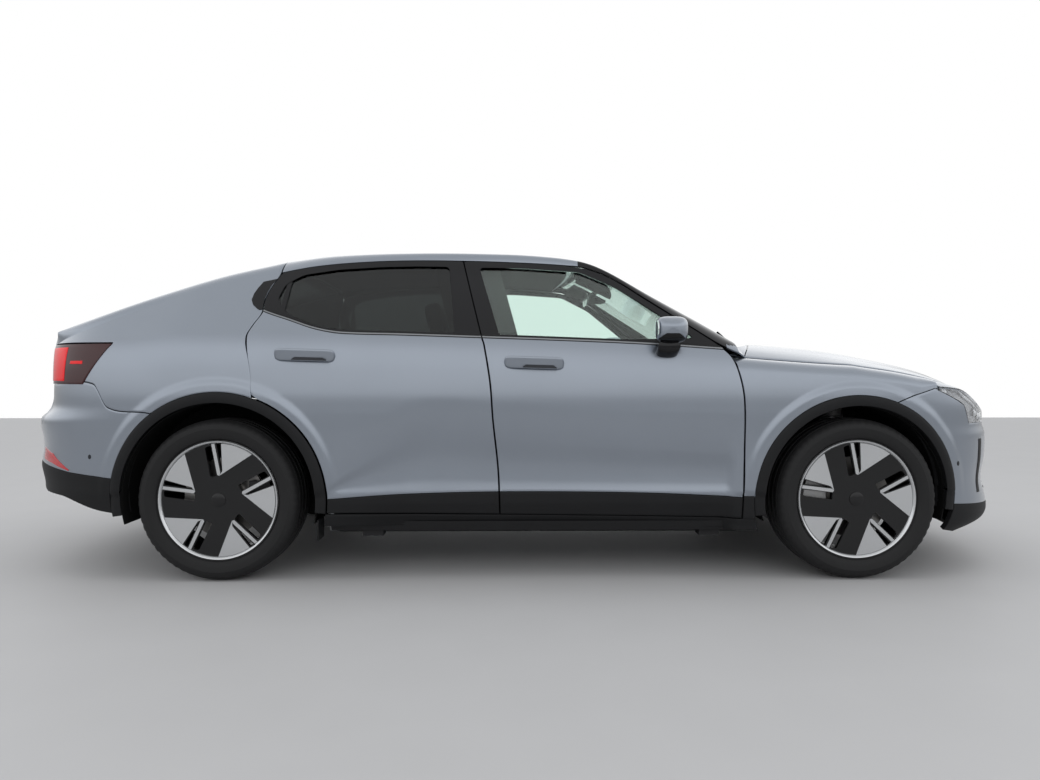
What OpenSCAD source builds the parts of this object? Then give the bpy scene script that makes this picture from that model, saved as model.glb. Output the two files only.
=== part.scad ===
// Fastback sedan on four wheels.
// X points forward, Y to the left and Z up; the origin is on the ground under the middle of the car.

/* [Overall] */
// Length over the bumpers
length = 4606; // [4400:1:4800]
// Width of the body without the mirrors
width = 1859; // [1800:1:1920]
// Height of the roof above the ground
height = 1480; // [1440:1:1540]
// Distance between the axles
wheelbase = 2735; // [2650:1:2800]
// Front axle to the foremost point
front_overhang = 873; // [840:1:900]

/* [Wheels] */
// Step of a tyre's outer face behind the body side
wheel_tuck = 7; // [4:1:20]
// Outside diameter of a tyre
tyre_d = 692; // [670:1:710]
// Width of a tyre
tyre_w = 245; // [225:1:255]
// Thickness of the tyre's wall
tyre_wall = 13; // [9:1:18]
// Diameter over the rim's flanges
rim_d = 520; // [480:1:530]
// Width of the rim over its flanges
rim_w = 216; // [200:1:225]
// Thickness of the rim's barrel
rim_wall = 9; // [6:1:12]
// Thickness of the spoked face
spoke_t = 24; // [16:1:32]
// Diameter of the hub cap
hub_cap_d = 62; // [50:1:76]
// Diameter of a brake disc
disc_d = 345; // [300:1:370]
// Thickness of a brake disc
disc_t = 28; // [20:1:34]

/* [Panels] */
// Gap between a moving panel and its neighbours
shut_gap = 6; // [5.5:0.1:9]
// Thickness of a door below its window
door_t = 82; // [70:1:95]
// Thickness of a door's window frame
frame_t = 34; // [28:1:40]
// Thickness of the hood with its inner frame
hood_t = 32; // [24:1:40]
// Thickness of the tailgate with its inner frame
tailgate_t = 38; // [28:1:45]
// Thickness of the roof with its lining
roof_t = 32; // [24:1:40]
// Thickness of a front fender
fender_t = 12; // [8:1:18]
// Thickness of a rear quarter
quarter_t = 46; // [35:1:60]
// Thickness of a bumper cover with its foam
bumper_t = 30; // [20:1:40]
// Thickness of the windows
glass_t = 5; // [4:0.5:7]
// Depth of the side windows behind the outer face
glass_depth = 10; // [6:1:16]
// Width of the trim round a wheel arch
trim_w = 39; // [30:1:48]
// Thickness of the trim round a wheel arch
trim_t = 26; // [18:1:34]
// Radius of the front wheel arch inside its trim
front_arch_r = 408; // [400:1:416]
// Radius of the rear wheel arch inside its trim
rear_arch_r = 422; // [410:1:430]

/* [Hidden] */
// Distance between the middles of the two tyres of an axle
track = width - tyre_w - 2 * wheel_tuck;
// Clearance at which fixed pieces seat on each other
seat_gap = 0.3;
// How far a cut runs past what it cuts
overrun = 20;
half_w = width / 2;
rear_overhang = length - wheelbase - front_overhang;
rear_axle_x = rear_overhang - length / 2;
front_axle_x = rear_axle_x + wheelbase;
hub_z = tyre_d / 2;
front_trim_r = front_arch_r + trim_w;
rear_trim_r = rear_arch_r + trim_w;

// Powers of the superellipses that give the plan of the nose and the tail
nose_length_power = 10.5;
nose_width_power = 1.75;
tail_length_power = 9;
tail_width_power = 3;

// Stations along the car: -1 tail, 0 rear axle, 1 front axle, 2 nose.
// In the tables, heights are shares of the height and widths and insets shares of half the width.
// Height share and inset of the flank above the hips, up to the roof rail
flank_inset_shares = [[0.486, 0], [0.541, 0.003], [0.608, 0.015], [0.649, 0.028], [0.676, 0.041],
    [0.696, 0.056], [0.706, 0.068], [0.76, 0.125], [0.824, 0.198], [0.9, 0.29], [0.946, 0.343],
    [0.973, 0.386], [1, 0.44]];
// Height of the belt line, station by station
belt_shares = [[-1, 0.72], [0, 0.72], [0.1, 0.72], [0.196, 0.717], [0.286, 0.713], [0.408, 0.7055],
    [0.527, 0.698], [0.663, 0.687], [0.796, 0.671], [0.9, 0.665]];
belt_share = 0.7;
belt_fade_shares = [0.55, 0.13];
// Height of the crease low on the doors, station by station
crease_shares = [[0.166, 0.262], [0.22, 0.33], [0.314, 0.4155], [0.44, 0.4055], [0.6585, 0.38],
    [0.82, 0.364]];
crease_inset_share = 0.0172;
crease_fade_share = 0.118;
// Inset of the hollow between the sill and the crease, by share of that hollow's height
hollow_inset_shares = [[0, 0.0258], [0.25, 0.033], [0.6, 0.0344], [1, 0.0172]];
// How much of the hollow is there, station by station
hollow_fade_shares = [[0.15, 0], [0.2, 0.5], [0.3, 1], [0.795, 1], [0.808, 0.1], [0.83, 0]];
// Inset of the sill below the hollow, by height
sill_inset_shares = [[0.1, 0.11], [0.159, 0.0753], [0.186, 0.043], [0.223, 0.028], [0.253, 0.0258]];
sill_top_share = 0.253;
sill_fade_share = 0.35;
waist_share = 0.012;
waist_span_shares = [0.1, 0.9];
// Inset of the nose and of the tail at the car's middle, by height
nose_inset_shares = [[0.101, 0.247], [0.132, 0.071], [0.161, 0], [0.209, 0], [0.274, 0.032], [0.347, 0.012],
    [0.411, 0.01], [0.4446, 0.03], [0.473, 0.032], [0.509, 0.043], [0.537, 0.081], [0.561, 0.11]];
tail_inset_shares = [[0.18, 0.12], [0.232, 0.05], [0.247, 0.027], [0.272, 0.0215], [0.318, 0.003],
    [0.341, 0.0075], [0.378, 0.017], [0.405, 0.013], [0.4426, 0], [0.466, 0.0075], [0.481, 0.043],
    [0.4966, 0.073], [0.5135, 0.081], [0.561, 0.081], [0.676, 0.075], [0.696, 0.084],
    [0.721, 0.0925], [0.76, 0.0925]];
// Inset of the bumpers' sides near their lower edges, by height
foot_inset_shares = [[0.1, 0.09], [0.15, 0.04], [0.2, 0.01], [0.25, 0]];
// Shut lines: height share, then station
front_door_line_shares = [[0.181, 0.818], [0.242, 0.819], [0.377, 0.82], [0.516, 0.82], [0.59, 0.814],
    [0.645, 0.8037], [0.672, 0.7905], [0.69, 0.7795], [0.815, 0.683], [0.895, 0.6208], [0.9285, 0.576],
    [0.9385, 0.539]];
middle_line_shares = [[0.19, 0.4387], [0.32, 0.4358], [0.4655, 0.4278], [0.5716, 0.4234], [0.684, 0.4135],
    [0.702, 0.4102], [0.935, 0.3777], [0.96, 0.375]];
rear_door_line_shares = [[0.45, 0.0567], [0.524, 0.0548], [0.604, 0.0505], [0.706, 0.0431], [0.743, 0.05],
    [0.78, 0.0603], [0.8175, 0.0603], [0.86, 0.066], [0.9, 0.076], [0.96, 0.08]];
// Lower and upper edges of the doors: station, then height share
door_low_shares = [[0.16, 0.198], [0.66, 0.186], [0.82, 0.181]];
door_high_shares = [[0.0684, 0.9035], [0.12, 0.9255], [0.171, 0.9385], [0.24, 0.948], [0.309, 0.9515],
    [0.378, 0.9507], [0.446, 0.9475], [0.539, 0.9385], [0.576, 0.9285]];
door_span_shares = [0.186, 0.948];
// Lower and upper edges of the roof rail and windscreen pillar: station, then height or width share
rail_low_shares = [[0.0684, 0.9035], [0.12, 0.9255], [0.171, 0.9385], [0.24, 0.948], [0.309, 0.9515],
    [0.378, 0.9507], [0.446, 0.9475], [0.539, 0.9385], [0.576, 0.9285], [0.6208, 0.895], [0.683, 0.815],
    [0.7795, 0.69], [0.8, 0.668], [0.82, 0.652]];
rail_high_shares = [[0.07, 0.947], [0.16, 0.9685], [0.309, 0.978], [0.446, 0.9745], [0.507, 0.968],
    [0.561, 0.9555], [0.602, 0.931], [0.691, 0.8345], [0.763, 0.7555], [0.817, 0.691]];
rail_width_shares = [[0.07, 0.611], [0.16, 0.603], [0.309, 0.603], [0.507, 0.61], [0.561, 0.617],
    [0.602, 0.632], [0.691, 0.7], [0.763, 0.765], [0.817, 0.825]];
rail_end_shares = [0.0815, 0.8145];
// Middle of the roof: station, then height share
roof_mid_shares = [[0.0833, 0.967], [0.163, 0.9905], [0.295, 1], [0.428, 0.997], [0.507, 0.987],
    [0.561, 0.972], [0.58, 0.966]];
// Edge of the hood: station, then height share, and station, then width share
hood_edge_shares = [[0.806, 0.6475], [0.83, 0.645], [0.87, 0.639], [0.9525, 0.628], [1.046, 0.619],
    [1.2405, 0.602], [1.436, 0.578], [1.535, 0.558], [1.707, 0.513], [1.787, 0.495]];
hood_width_shares = [[0.806, 0.862], [1.046, 0.86], [1.2405, 0.852], [1.436, 0.825], [1.535, 0.795],
    [1.707, 0.7], [1.787, 0.64]];
// Middle of the hood: share of its length, then height share
hood_mid_shares = [[0, 0.695], [0.1, 0.687], [0.3, 0.668], [0.5, 0.64], [0.7, 0.606], [0.83, 0.573],
    [0.92, 0.541], [1, 0.503]];
// Edges and middle of the tailgate: share of its length, then height or width share
gate_edge_shares = [[0, 0.9455], [0.264, 0.9007], [0.549, 0.835], [0.834, 0.764], [1, 0.725]];
gate_width_shares = [[0, 0.608], [0.264, 0.645], [0.549, 0.7], [0.834, 0.742], [1, 0.748]];
gate_mid_shares = [[0, 0.964], [0.22, 0.9176], [0.476, 0.855], [0.73, 0.784], [0.86, 0.7595],
    [0.95, 0.7486], [1, 0.743]];
gate_corner_station_shares = [0.074, -0.782];
// Edges of the bumpers and lamps: plan angle, then height share
nose_low_shares = [[0, 0.105], [60, 0.115], [75, 0.14], [82, 0.145]];
nose_high_shares = [[0, 0.476], [34, 0.462], [50, 0.451], [64.5, 0.451], [66.5, 0.505], [75.2, 0.553],
    [82.2, 0.508]];
head_high_shares = [[38, 0.476], [48, 0.482], [56, 0.502], [62, 0.532], [67, 0.552], [75.2, 0.562]];
tail_low_shares = [[0, 0.232], [55, 0.24], [70, 0.2], [82, 0.18]];
tail_high_shares = [[0, 0.515], [40.5, 0.515], [43, 0.567], [67.6, 0.567], [72, 0.493],
    [79.5, 0.476]];
// Side windows: station, then height share
front_window_shares = [[0.438, 0.708], [0.403, 0.928], [0.47, 0.9265], [0.57, 0.914], [0.63, 0.862],
    [0.70, 0.768], [0.748, 0.703], [0.6, 0.697]];
rear_window_shares = [[0.367, 0.712], [0.353, 0.93], [0.3, 0.931], [0.24, 0.928], [0.17, 0.918],
    [0.115, 0.9], [0.088, 0.868], [0.08, 0.82], [0.1, 0.775], [0.15, 0.735], [0.2, 0.722]];
// Tailgate window: share of the tailgate's length, then share of its half width
gate_window_shares = [[0.05, 0.9], [0.3, 0.92], [0.55, 0.93], [0.66, 0.9], [0.69, 0.6], [0.69, 0]];
// Outline of a tail lamp's pocket in the quarter: station, then height share
lamp_pocket_shares = [[-0.85, 0.691], [-0.488, 0.688], [-0.585, 0.5685], [-0.85, 0.5685]];

function lerp(a, b, t) = a + (b - a) * t;
function station(s) = s < 0 ? rear_axle_x + s * rear_overhang
    : s > 1 ? front_axle_x + (s - 1) * front_overhang
    : rear_axle_x + s * wheelbase;
function station_of(x) = x < rear_axle_x ? (x - rear_axle_x) / rear_overhang
    : x > front_axle_x ? 1 + (x - front_axle_x) / front_overhang
    : (x - rear_axle_x) / wheelbase;

// Smooth curve through the rows of a table
function segment(t, x, i = 0) = i >= len(t) - 2 || x < t[i + 1][0] ? i : segment(t, x, i + 1);
function slope(t, i) =
    let (a = max(i - 1, 0), b = min(i + 1, len(t) - 1))
    (t[b][1] - t[a][1]) / (t[b][0] - t[a][0]);
function curve(t, x) =
    let (
        k = segment(t, x),
        d = t[k + 1][0] - t[k][0],
        q = min(max((x - t[k][0]) / d, 0), 1),
        a = t[k][1],
        b = t[k + 1][1]
    )
    a + q * q * (3 - 2 * q) * (b - a) + d * q * (1 - q) * ((1 - q) * slope(t, k) - q * slope(t, k + 1));

// Half width of the plan at its widest height
function half_plan(x) =
    let (
        a = min(abs(x) / (length / 2), 1),
        n = x > 0 ? nose_length_power : tail_length_power,
        m = x > 0 ? nose_width_power : tail_width_power
    )
    half_w * pow(1 - pow(a, n), 1 / m);
function waist(s) =
    let (q = waist_span_shares)
    s < q[0] || s > q[1] ? 0 : half_w * waist_share * sin(180 * (s - q[0]) / (q[1] - q[0]));
function fade(x) = let (q = min(max(x, 0), 1)) q * q * (3 - 2 * q);

// Inset share of the flank below the hips, with the crease low on the doors
function low_inset(s, h) =
    let (c = curve(crease_shares, s), b = sill_top_share)
    h < b ? lookup(h, sill_inset_shares) * max(lookup(s, hollow_fade_shares), sill_fade_share)
    : lookup(s, hollow_fade_shares) * (h < c ? lookup((h - b) / (c - b), hollow_inset_shares)
        : crease_inset_share * pow(max(0, 1 - (h - c) / crease_fade_share), 2));
function side_inset(s, h) =
    let (f = belt_fade_shares, shift = (curve(belt_shares, s) - belt_share) * fade((h - f[0]) / f[1]))
    curve(flank_inset_shares, h - shift) + low_inset(s, h);
// Half width of the body side at a place and height
function side_y(x, z) =
    let (s = station_of(x))
    half_plan(x) - waist(s) - half_w * side_inset(s, z / height);

// Points of the nose and of the tail at a plan angle, height and depth
function plan_point(t, n, m) = [length / 2 * pow(cos(t), 2 / n), half_w * pow(sin(t), 2 / m)];
function plan_normal(p, n, m) =
    let (g = [n / length * 2 * pow(p[0] / length * 2, n - 1), m / half_w * pow(p[1] / half_w, m - 1)])
    g / norm(g);
function end_point(t, z, depth, n, m, insets) =
    let (
        p = plan_point(abs(t), n, m),
        v = plan_normal(p, n, m),
        h = z / height,
        flank = lookup(h, foot_inset_shares) + curve(flank_inset_shares, h),
        d = half_w * (v[0] * v[0] * lookup(h, insets) + v[1] * v[1] * flank) + depth
    )
    [p[0] - v[0] * d, sign(t) * (p[1] - v[1] * d), z];
function nose(t, z, depth) = end_point(t, z, depth, nose_length_power, nose_width_power, nose_inset_shares);
function tail(t, z, depth) =
    let (p = end_point(t, z, depth, tail_length_power, tail_width_power, tail_inset_shares))
    [-p[0], p[1], p[2]];

// A closed panel between two grids of points with the same rows and columns.
// Along a row, then up a column, the right hand's thumb points from the first grid to the second.
module panel(outer, inner) {
    rows = len(outer);
    cols = len(outer[0]);
    n = rows * cols;
    rim = [for (j = [0 : cols - 2]) j, for (i = [0 : rows - 2]) i * cols + cols - 1,
        for (j = [cols - 1 : -1 : 1]) (rows - 1) * cols + j, for (i = [rows - 1 : -1 : 1]) i * cols];
    skin = [for (i = [0 : rows - 2], j = [0 : cols - 2]) let (a = i * cols + j)
        each [[a, a + 1, a + cols + 1], [a, a + cols + 1, a + cols]]];
    back = [for (f = skin) [f[2] + n, f[1] + n, f[0] + n]];
    wall = [for (k = [0 : len(rim) - 1]) let (a = rim[k], b = rim[(k + 1) % len(rim)])
        each [[b, a, a + n], [b, a + n, b + n]]];
    polyhedron(
        points = [for (r = outer) each r, for (r = inner) each r],
        faces = concat(skin, back, wall)
    );
}

module on_side(side) {
    mirror([0, side > 0 ? 0 : 1, 0])
        children();
}

// A prism across the left half of the car, with its outline in the side view
module side_prism(outline) {
    translate([0, width, 0])
        rotate([90, 0, 0])
            linear_extrude(width)
                polygon(outline);
}
function side_outline(shares) = [for (p = shares) [station(p[0]), p[1] * height]];

// The room that a wheel arch takes out of the panels, on both sides
module arch_cut(x, r) {
    translate([x, -width, hub_z])
        rotate([-90, 0, 0])
            cylinder(r = r, h = 2 * width, $fn = 96);
}

// Doors
door_row_shares = [0, 0.05, 0.09, 0.13, 0.19, 0.25, 0.33, 0.42, 0.52, 0.6, 0.645, 0.675, 0.71, 0.75, 0.79,
    0.84, 0.89, 0.95, 1];
door_column_shares = [0, 0.12, 0.27, 0.42, 0.57, 0.72, 0.87, 1];
door_edge_shares = [0.022, 0.984];
door_rim_shares = [0.012, 0.99];
door_belt_shares = [0.62, 0.69];
function line_station(line, v, h, n = 4) =
    let (s = curve(line, h))
    n == 0 ? s
        : line_station(line, v, lerp(curve(door_low_shares, s), curve(door_high_shares, s), v), n - 1);
function door_point(u, v, depth, rear_line, front_line) =
    let (
        h = lerp(door_span_shares[0], door_span_shares[1], v),
        rear = station(line_station(rear_line, v, h)) + shut_gap / 2,
        front = station(line_station(front_line, v, h)) - shut_gap / 2,
        x = lerp(rear, front, u),
        s = station_of(x),
        low = curve(door_low_shares, s) * height,
        high = curve(door_high_shares, s) * height - shut_gap,
        z = lerp(low, high, v)
    )
    [x, side_y(x, z) - depth, z];
function door_depth(v) = lookup(v, [[door_belt_shares[0], door_t], [door_belt_shares[1], frame_t]]);
module door_skin(rear_line, front_line) {
    e = door_edge_shares;
    r = door_rim_shares;
    panel(
        [for (v = door_row_shares) [for (u = door_column_shares)
            door_point(u, v, 0, rear_line, front_line)]],
        [for (v = door_row_shares) [for (u = door_column_shares)
            door_point(lerp(e[0], e[1], u), lerp(r[0], r[1], v), door_depth(v), rear_line, front_line)]]
    );
}
module front_door(side) {
    color("slategray")
        on_side(side)
            difference() {
                door_skin(middle_line_shares, front_door_line_shares);
                side_prism(side_outline(front_window_shares));
            }
}
module rear_door(side) {
    step_y = half_w - 2 * trim_t;
    color("slategray")
        on_side(side)
            difference() {
                door_skin(rear_door_line_shares, middle_line_shares);
                side_prism(side_outline(rear_window_shares));
                arch_cut(rear_axle_x, rear_trim_r + shut_gap);
                translate([rear_axle_x, step_y - width, hub_z])
                    rotate([-90, 0, 0])
                        cylinder(r = rear_trim_r + 3 * shut_gap, h = width, $fn = 96);
            }
}

// Side windows, set into the doors' openings
glass_row_shares = [0, 0.2, 0.4, 0.6, 0.8, 1];
glass_span_shares = [0.68, 0.945];
front_glass_shares = [0.39, 0.77];
rear_glass_shares = [0.06, 0.38];
module door_glass(side, outline, ends) {
    span = glass_span_shares;
    function pane(depth) = [for (v = glass_row_shares) [for (u = glass_row_shares)
        let (x = station(lerp(ends[0], ends[1], u)), z = height * lerp(span[0], span[1], v))
        [x, side_y(x, z) - depth, z]]];
    color("lightseagreen", 0.4)
        on_side(side)
            intersection() {
                panel(pane(glass_depth), pane(glass_depth + glass_t));
                translate([0, width, 0])
                    rotate([90, 0, 0])
                        linear_extrude(width)
                            offset(delta = -seat_gap)
                                polygon(side_outline(outline));
            }
}
module front_glass(side) {
    door_glass(side, front_window_shares, front_glass_shares);
}
module rear_glass(side) {
    door_glass(side, rear_window_shares, rear_glass_shares);
}

// Roof rail with the windscreen pillar, middle pillar, hinge pillar and sill: one body side
rail_bulge = 9;
rail_row_shares = [0, 0.35, 0.7, 1];
rail_root_shares = [0.9, 0.75];
rail_rise_shares = [0.55, 0.03];
function rail_columns() = [rail_end_shares[0],
    for (k = [1 : len(roof_column_shares) - 1]) station_of(roof_point(roof_column_shares[k], 1)[0]),
    for (u = roof_column_shares) lerp(screen_top_shares[1], screen_base_shares[1], u), rail_end_shares[1]];
function rail_edges(s) =
    let (
        rise = fade((s - rail_rise_shares[0]) / rail_rise_shares[1]),
        z0 = curve(rail_low_shares, s) * height + shut_gap * rise
    )
    [[station(s), side_y(station(s), z0), z0],
        [station(s), curve(rail_width_shares, s) * half_w, curve(rail_high_shares, s) * height]];
function rail_outer(s, v) =
    let (e = rail_edges(s), d = e[1] - e[0])
    lerp(e[0], e[1], v) + rail_bulge * 4 * v * (1 - v) * [0, d[2], -d[1]] / norm(d);
function rail_inner(s, v) =
    let (e = rail_edges(s), r = rail_root_shares)
    lerp([e[0][0], lerp(e[0][1], e[1][1], r[0]), e[0][2]],
        [e[1][0], e[1][1], lerp(e[1][2], e[0][2], r[1])], v);
sill_h = 120;
sill_in = 170;
sill_z = 205;
sill_lip = 44;
pillar_t = 60;
pillar_gap = 16;
pillar_foot_share = (sill_z + 0.75 * sill_h) / height;
pillar_belt_shares = [0.66, 0.72];
pillar_row_shares = [pillar_foot_share, 0.35, 0.5, 0.66, 0.72, 0.8, 0.87, 0.93, 0.951, 0.957];
pillar_head_shares = [0.93, 0.951, 0.957];
middle_pillar_shares = [-0.05, 0.058];
hinge_pillar_row_shares = [pillar_foot_share, 0.35, 0.5, 0.6, 0.675];
hinge_pillar_shares = [-0.03, 0.012];
function pillar_point(h, s, depth) =
    let (x = station(s), z = h * height)
    [x, side_y(x, z) - depth, z];
function pillar_depth(h) =
    let (b = pillar_belt_shares, q = pillar_head_shares)
    lookup(h, [[b[0], door_t + pillar_gap], [b[1], frame_t + pillar_gap], [q[0], frame_t + pillar_gap],
        [q[1], frame_t + pillar_gap / 2], [q[2], pillar_gap]]);
function pillar_width(h) =
    let (q = pillar_head_shares)
    lookup(h, [[q[0], pillar_t], [q[1], pillar_t / 2], [q[2], pillar_t / 4]]);
module pillar(line, ends, rows) {
    function face(k) = [for (h = rows) [for (e = ends)
        pillar_point(h, curve(line, h) + e, pillar_depth(h) + k * pillar_width(h))]];
    panel(face(0), face(1));
}
jack_w = 70;
jack_l = 90;
jack_drop = 8;
jack_shares = [0.235, 0.775];
sill_y = half_w - door_t - 2 * pillar_gap;
module sill() {
    y0 = sill_y;
    translate([rear_axle_x + rear_trim_r + shut_gap, 0, 0])
        rotate([90, 0, 90])
            linear_extrude(wheelbase - rear_trim_r - front_trim_r - 2 * shut_gap)
                polygon([[y0 - sill_in, sill_z - sill_lip], [y0, sill_z], [half_w - 2 * sill_lip, sill_z],
                    [half_w - 1.4 * sill_lip, sill_z + sill_lip],
                    [y0 - sill_lip / 2, sill_z + 1.1 * sill_lip],
                    [y0 - sill_lip, sill_z + sill_h], [y0 - sill_in, sill_z + sill_h]]);
}
// Rubber stop that a shut door rests on, from the pillar behind it to the door's inner face
stop_d = 16;
stop_u_share = 0.12;
stop_v_share = 0.42;
module door_stop(rear_line, front_line) {
    e = door_edge_shares;
    r = door_rim_shares;
    u = lerp(e[0], e[1], stop_u_share);
    v = lerp(r[0], r[1], stop_v_share);
    p = door_point(u, v, door_t, rear_line, front_line);
    translate(p - [0, 3 * seat_gap, 0])
        rotate([90, 0, 0])
            cylinder(d = stop_d, h = 2 * pillar_gap, $fn = 32);
}
module body_side(side) {
    color("dimgray")
        on_side(side)
            union() {
                panel(
                    [for (v = rail_row_shares) [for (s = rail_columns()) rail_outer(s, v)]],
                    [for (v = rail_row_shares) [for (s = rail_columns()) rail_inner(s, v)]]
                );
                pillar(middle_line_shares, middle_pillar_shares, pillar_row_shares);
                pillar(front_door_line_shares, hinge_pillar_shares, hinge_pillar_row_shares);
                sill();
                for (s = jack_shares)
                    translate([station(s) - jack_l / 2, sill_y - jack_w, sill_z - sill_lip / 2 - jack_drop])
                        cube([jack_l, jack_w, sill_lip]);
                door_stop(middle_line_shares, front_door_line_shares);
            }
}

// Rear quarter with the rear pillar
quarter_row_shares = [0, 0.14, 0.28, 0.4, 0.46, 0.52, 0.58, 0.64, 0.7, 0.75, 0.8, 0.87, 0.94, 1];
quarter_column_shares = [0, 0.13, 0.258, 0.333, 0.43, 0.54, 0.65, 0.77, 0.88, 1];
quarter_roll_share = 0.8;
quarter_span_shares = [[0, 0.45], [quarter_roll_share, 0.91], [1, 0.9455]];
roll_h = 52;
quarter_low_shares = [[-0.782, 0.5685], [-0.54, 0.569], [-0.47, 0.502], [-0.285, 0.486], [-0.1, 0.45],
    [0.06, 0.45]];
roll_lean_share = 0.9;
function gate_share(x) =
    let (a = station(gate_corner_station_shares[0]), b = station(gate_corner_station_shares[1]))
    min(max((x - a) / (b - a), 0), 1);
// Rounded shoulder from the flank up to an edge
function shoulder(x, z0, y1, z1, q, depth) =
    let (
        y0 = side_y(x, z0),
        lean = (y0 - side_y(x, z0 + roll_h)) * roll_lean_share,
        a = (1 - q) * (1 - q),
        b = 2 * q * (1 - q),
        y = a * y0 + b * (y0 - lean) + q * q * y1,
        z = a * z0 + b * z1 + q * q * z1
    )
    [x, y - depth * (1 - q), z - depth * q];
function quarter_point(u, v, depth) =
    let (
        h = lookup(v, quarter_span_shares),
        front = station(curve(rear_door_line_shares, h)) - shut_gap / 2,
        x = lerp(station(gate_corner_station_shares[1]), front, u),
        s = station_of(x),
        g = gate_share(x),
        y1 = curve(gate_width_shares, g) * half_w + shut_gap,
        z1 = curve(gate_edge_shares, g) * height,
        z0 = z1 - roll_h,
        low = curve(quarter_low_shares, s) * height,
        k = v / quarter_roll_share,
        z = lerp(low, z0, k)
    )
    v <= quarter_roll_share ? [x, side_y(x, z) - depth, z]
    : shoulder(x, z0, y1, z1, (v - quarter_roll_share) / (1 - quarter_roll_share), depth);
lock_pillar_shares = [-0.032, 0.062];
lock_pillar_row_shares = [0.5, 0.56, 0.62, 0.68];
module lock_wall() {
    ends = [lock_pillar_shares[0], lock_pillar_shares[0] / 3];
    depths = [quarter_t / 2, door_t + 2 * pillar_gap];
    function face(k) = [for (h = lock_pillar_row_shares) [for (e = ends)
        pillar_point(h, curve(rear_door_line_shares, h) + e, depths[k])]];
    panel(face(0), face(1));
}
module quarter(side) {
    function face(d) = [for (v = quarter_row_shares)
        [for (u = quarter_column_shares) quarter_point(u, v, d)]];
    color("slategray")
        on_side(side)
            difference() {
                union() {
                    panel(face(0), face(quarter_t));
                    pillar(rear_door_line_shares, lock_pillar_shares, lock_pillar_row_shares);
                    lock_wall();
                    door_stop(rear_door_line_shares, middle_line_shares);
                }
                side_prism(side_outline(lamp_pocket_shares));
                arch_cut(rear_axle_x, rear_trim_r + seat_gap);
            }
}

// Front fender
fender_row_shares = [0, 0.2, 0.4, 0.55, 0.7, 0.8, 0.87, 0.94, 1];
fender_column_shares = [0, 0.1, 0.22, 0.34, 0.46, 0.58, 0.7, 0.85, 1];
fender_front_share = 1.4;
fender_roll_share = 0.3;
fender_span_shares = [[0, 0.246], [quarter_roll_share, 0.612], [1, 0.6475]];
fender_low_shares = [[0.8, 0.246], [0.9, 0.246], [1.08, 0.47], [1.195, 0.517], [1.39, 0.5565]];
function fender_point(u, v, depth) =
    let (
        h = lookup(v, fender_span_shares),
        x = lerp(station(curve(front_door_line_shares, h)) + shut_gap / 2, station(fender_front_share), u),
        s = station_of(x),
        y1 = curve(hood_width_shares, s) * half_w + shut_gap / 2,
        z1 = curve(hood_edge_shares, s) * height,
        low = curve(fender_low_shares, s) * height,
        z0 = max(z1 - roll_h, lerp(low, z1, fender_roll_share)),
        k = v / quarter_roll_share,
        z = lerp(low, z0, k)
    )
    v <= quarter_roll_share ? [x, side_y(x, z) - depth, z]
    : shoulder(x, z0, y1, z1, (v - quarter_roll_share) / (1 - quarter_roll_share), depth);
module fender(side) {
    function face(d) = [for (v = fender_row_shares) [for (u = fender_column_shares) fender_point(u, v, d)]];
    color("slategray")
        on_side(side)
            difference() {
                panel(face(0), face(fender_t));
                arch_cut(front_axle_x, front_trim_r + seat_gap);
            }
}

// Hood
across_shares = [1, 0.93, 0.82, 0.66, 0.45, 0.2, 0, -0.2, -0.45, -0.66, -0.82, -0.93, -1];
hood_column_shares = [0, 0.12, 0.26, 0.4, 0.54, 0.67, 0.78, 0.87, 0.94, 1];
hood_rear_shares = [0.895, 0.833];
hood_crown_power = 5;
hood_edge_in_shares = [0.012, 0.985];
hood_nose_inset_share = 0.05;
function hood_point(u, w) =
    let (
        a = abs(w),
        y_nose = a * hood_width_shares[len(hood_width_shares) - 1][1],
        front = length / 2 * pow(1 - pow(y_nose, nose_width_power), 1 / nose_length_power)
            - hood_nose_inset_share * half_w,
        rear = station(lerp(hood_rear_shares[0], hood_rear_shares[1], a * a)),
        tip = hood_width_shares[len(hood_width_shares) - 1],
        x_side = lerp(station(hood_rear_shares[1]), station(tip[0]), u),
        s = station_of(x_side),
        z_side = curve(hood_edge_shares, s) * height,
        z_mid = curve(hood_mid_shares, u) * height,
        y = curve(hood_width_shares, s) * half_w - shut_gap / 2
    )
    [lerp(rear, front, u), w * y, lerp(z_mid, z_side, pow(a, hood_crown_power))];
module hood() {
    color("slategray")
        panel(
            [for (w = across_shares) [for (u = hood_column_shares) hood_point(u, w)]],
            [for (w = across_shares) [for (u = hood_column_shares) let (e = hood_edge_in_shares)
                hood_point(lerp(e[0], e[1], u), w * e[1]) - [0, 0, hood_t]]]
        );
}

// Roof and windscreen
roof_column_shares = [0, 0.1, 0.22, 0.36, 0.5, 0.64, 0.77, 0.89, 1];
roof_crown_power = 2.4;
screen_top_shares = [0.5725, 0.5525];
screen_base_shares = [0.885, 0.812];
screen_mid_shares = [0.9655, 0.652];
screen_bulge_share = 0.012;
screen_depth_shares = [0.5, 0, 0.85];
roof_edge_in_share = 0.97;
function roof_point(u, w) =
    let (
        a = abs(w),
        front = station(lerp(screen_top_shares[0], screen_top_shares[1], a * a)) - shut_gap / 2,
        rear = station(gate_corner_station_shares[0] - gate_bow_share * (1 - a * a)),
        x = lerp(rear, front, u),
        s = station_of(x),
        z0 = curve(rail_high_shares, s) * height,
        z1 = curve(roof_mid_shares, s) * height
    )
    [x, w * (curve(rail_width_shares, s) * half_w - seat_gap), lerp(z1, z0, pow(a, roof_crown_power))];
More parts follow.
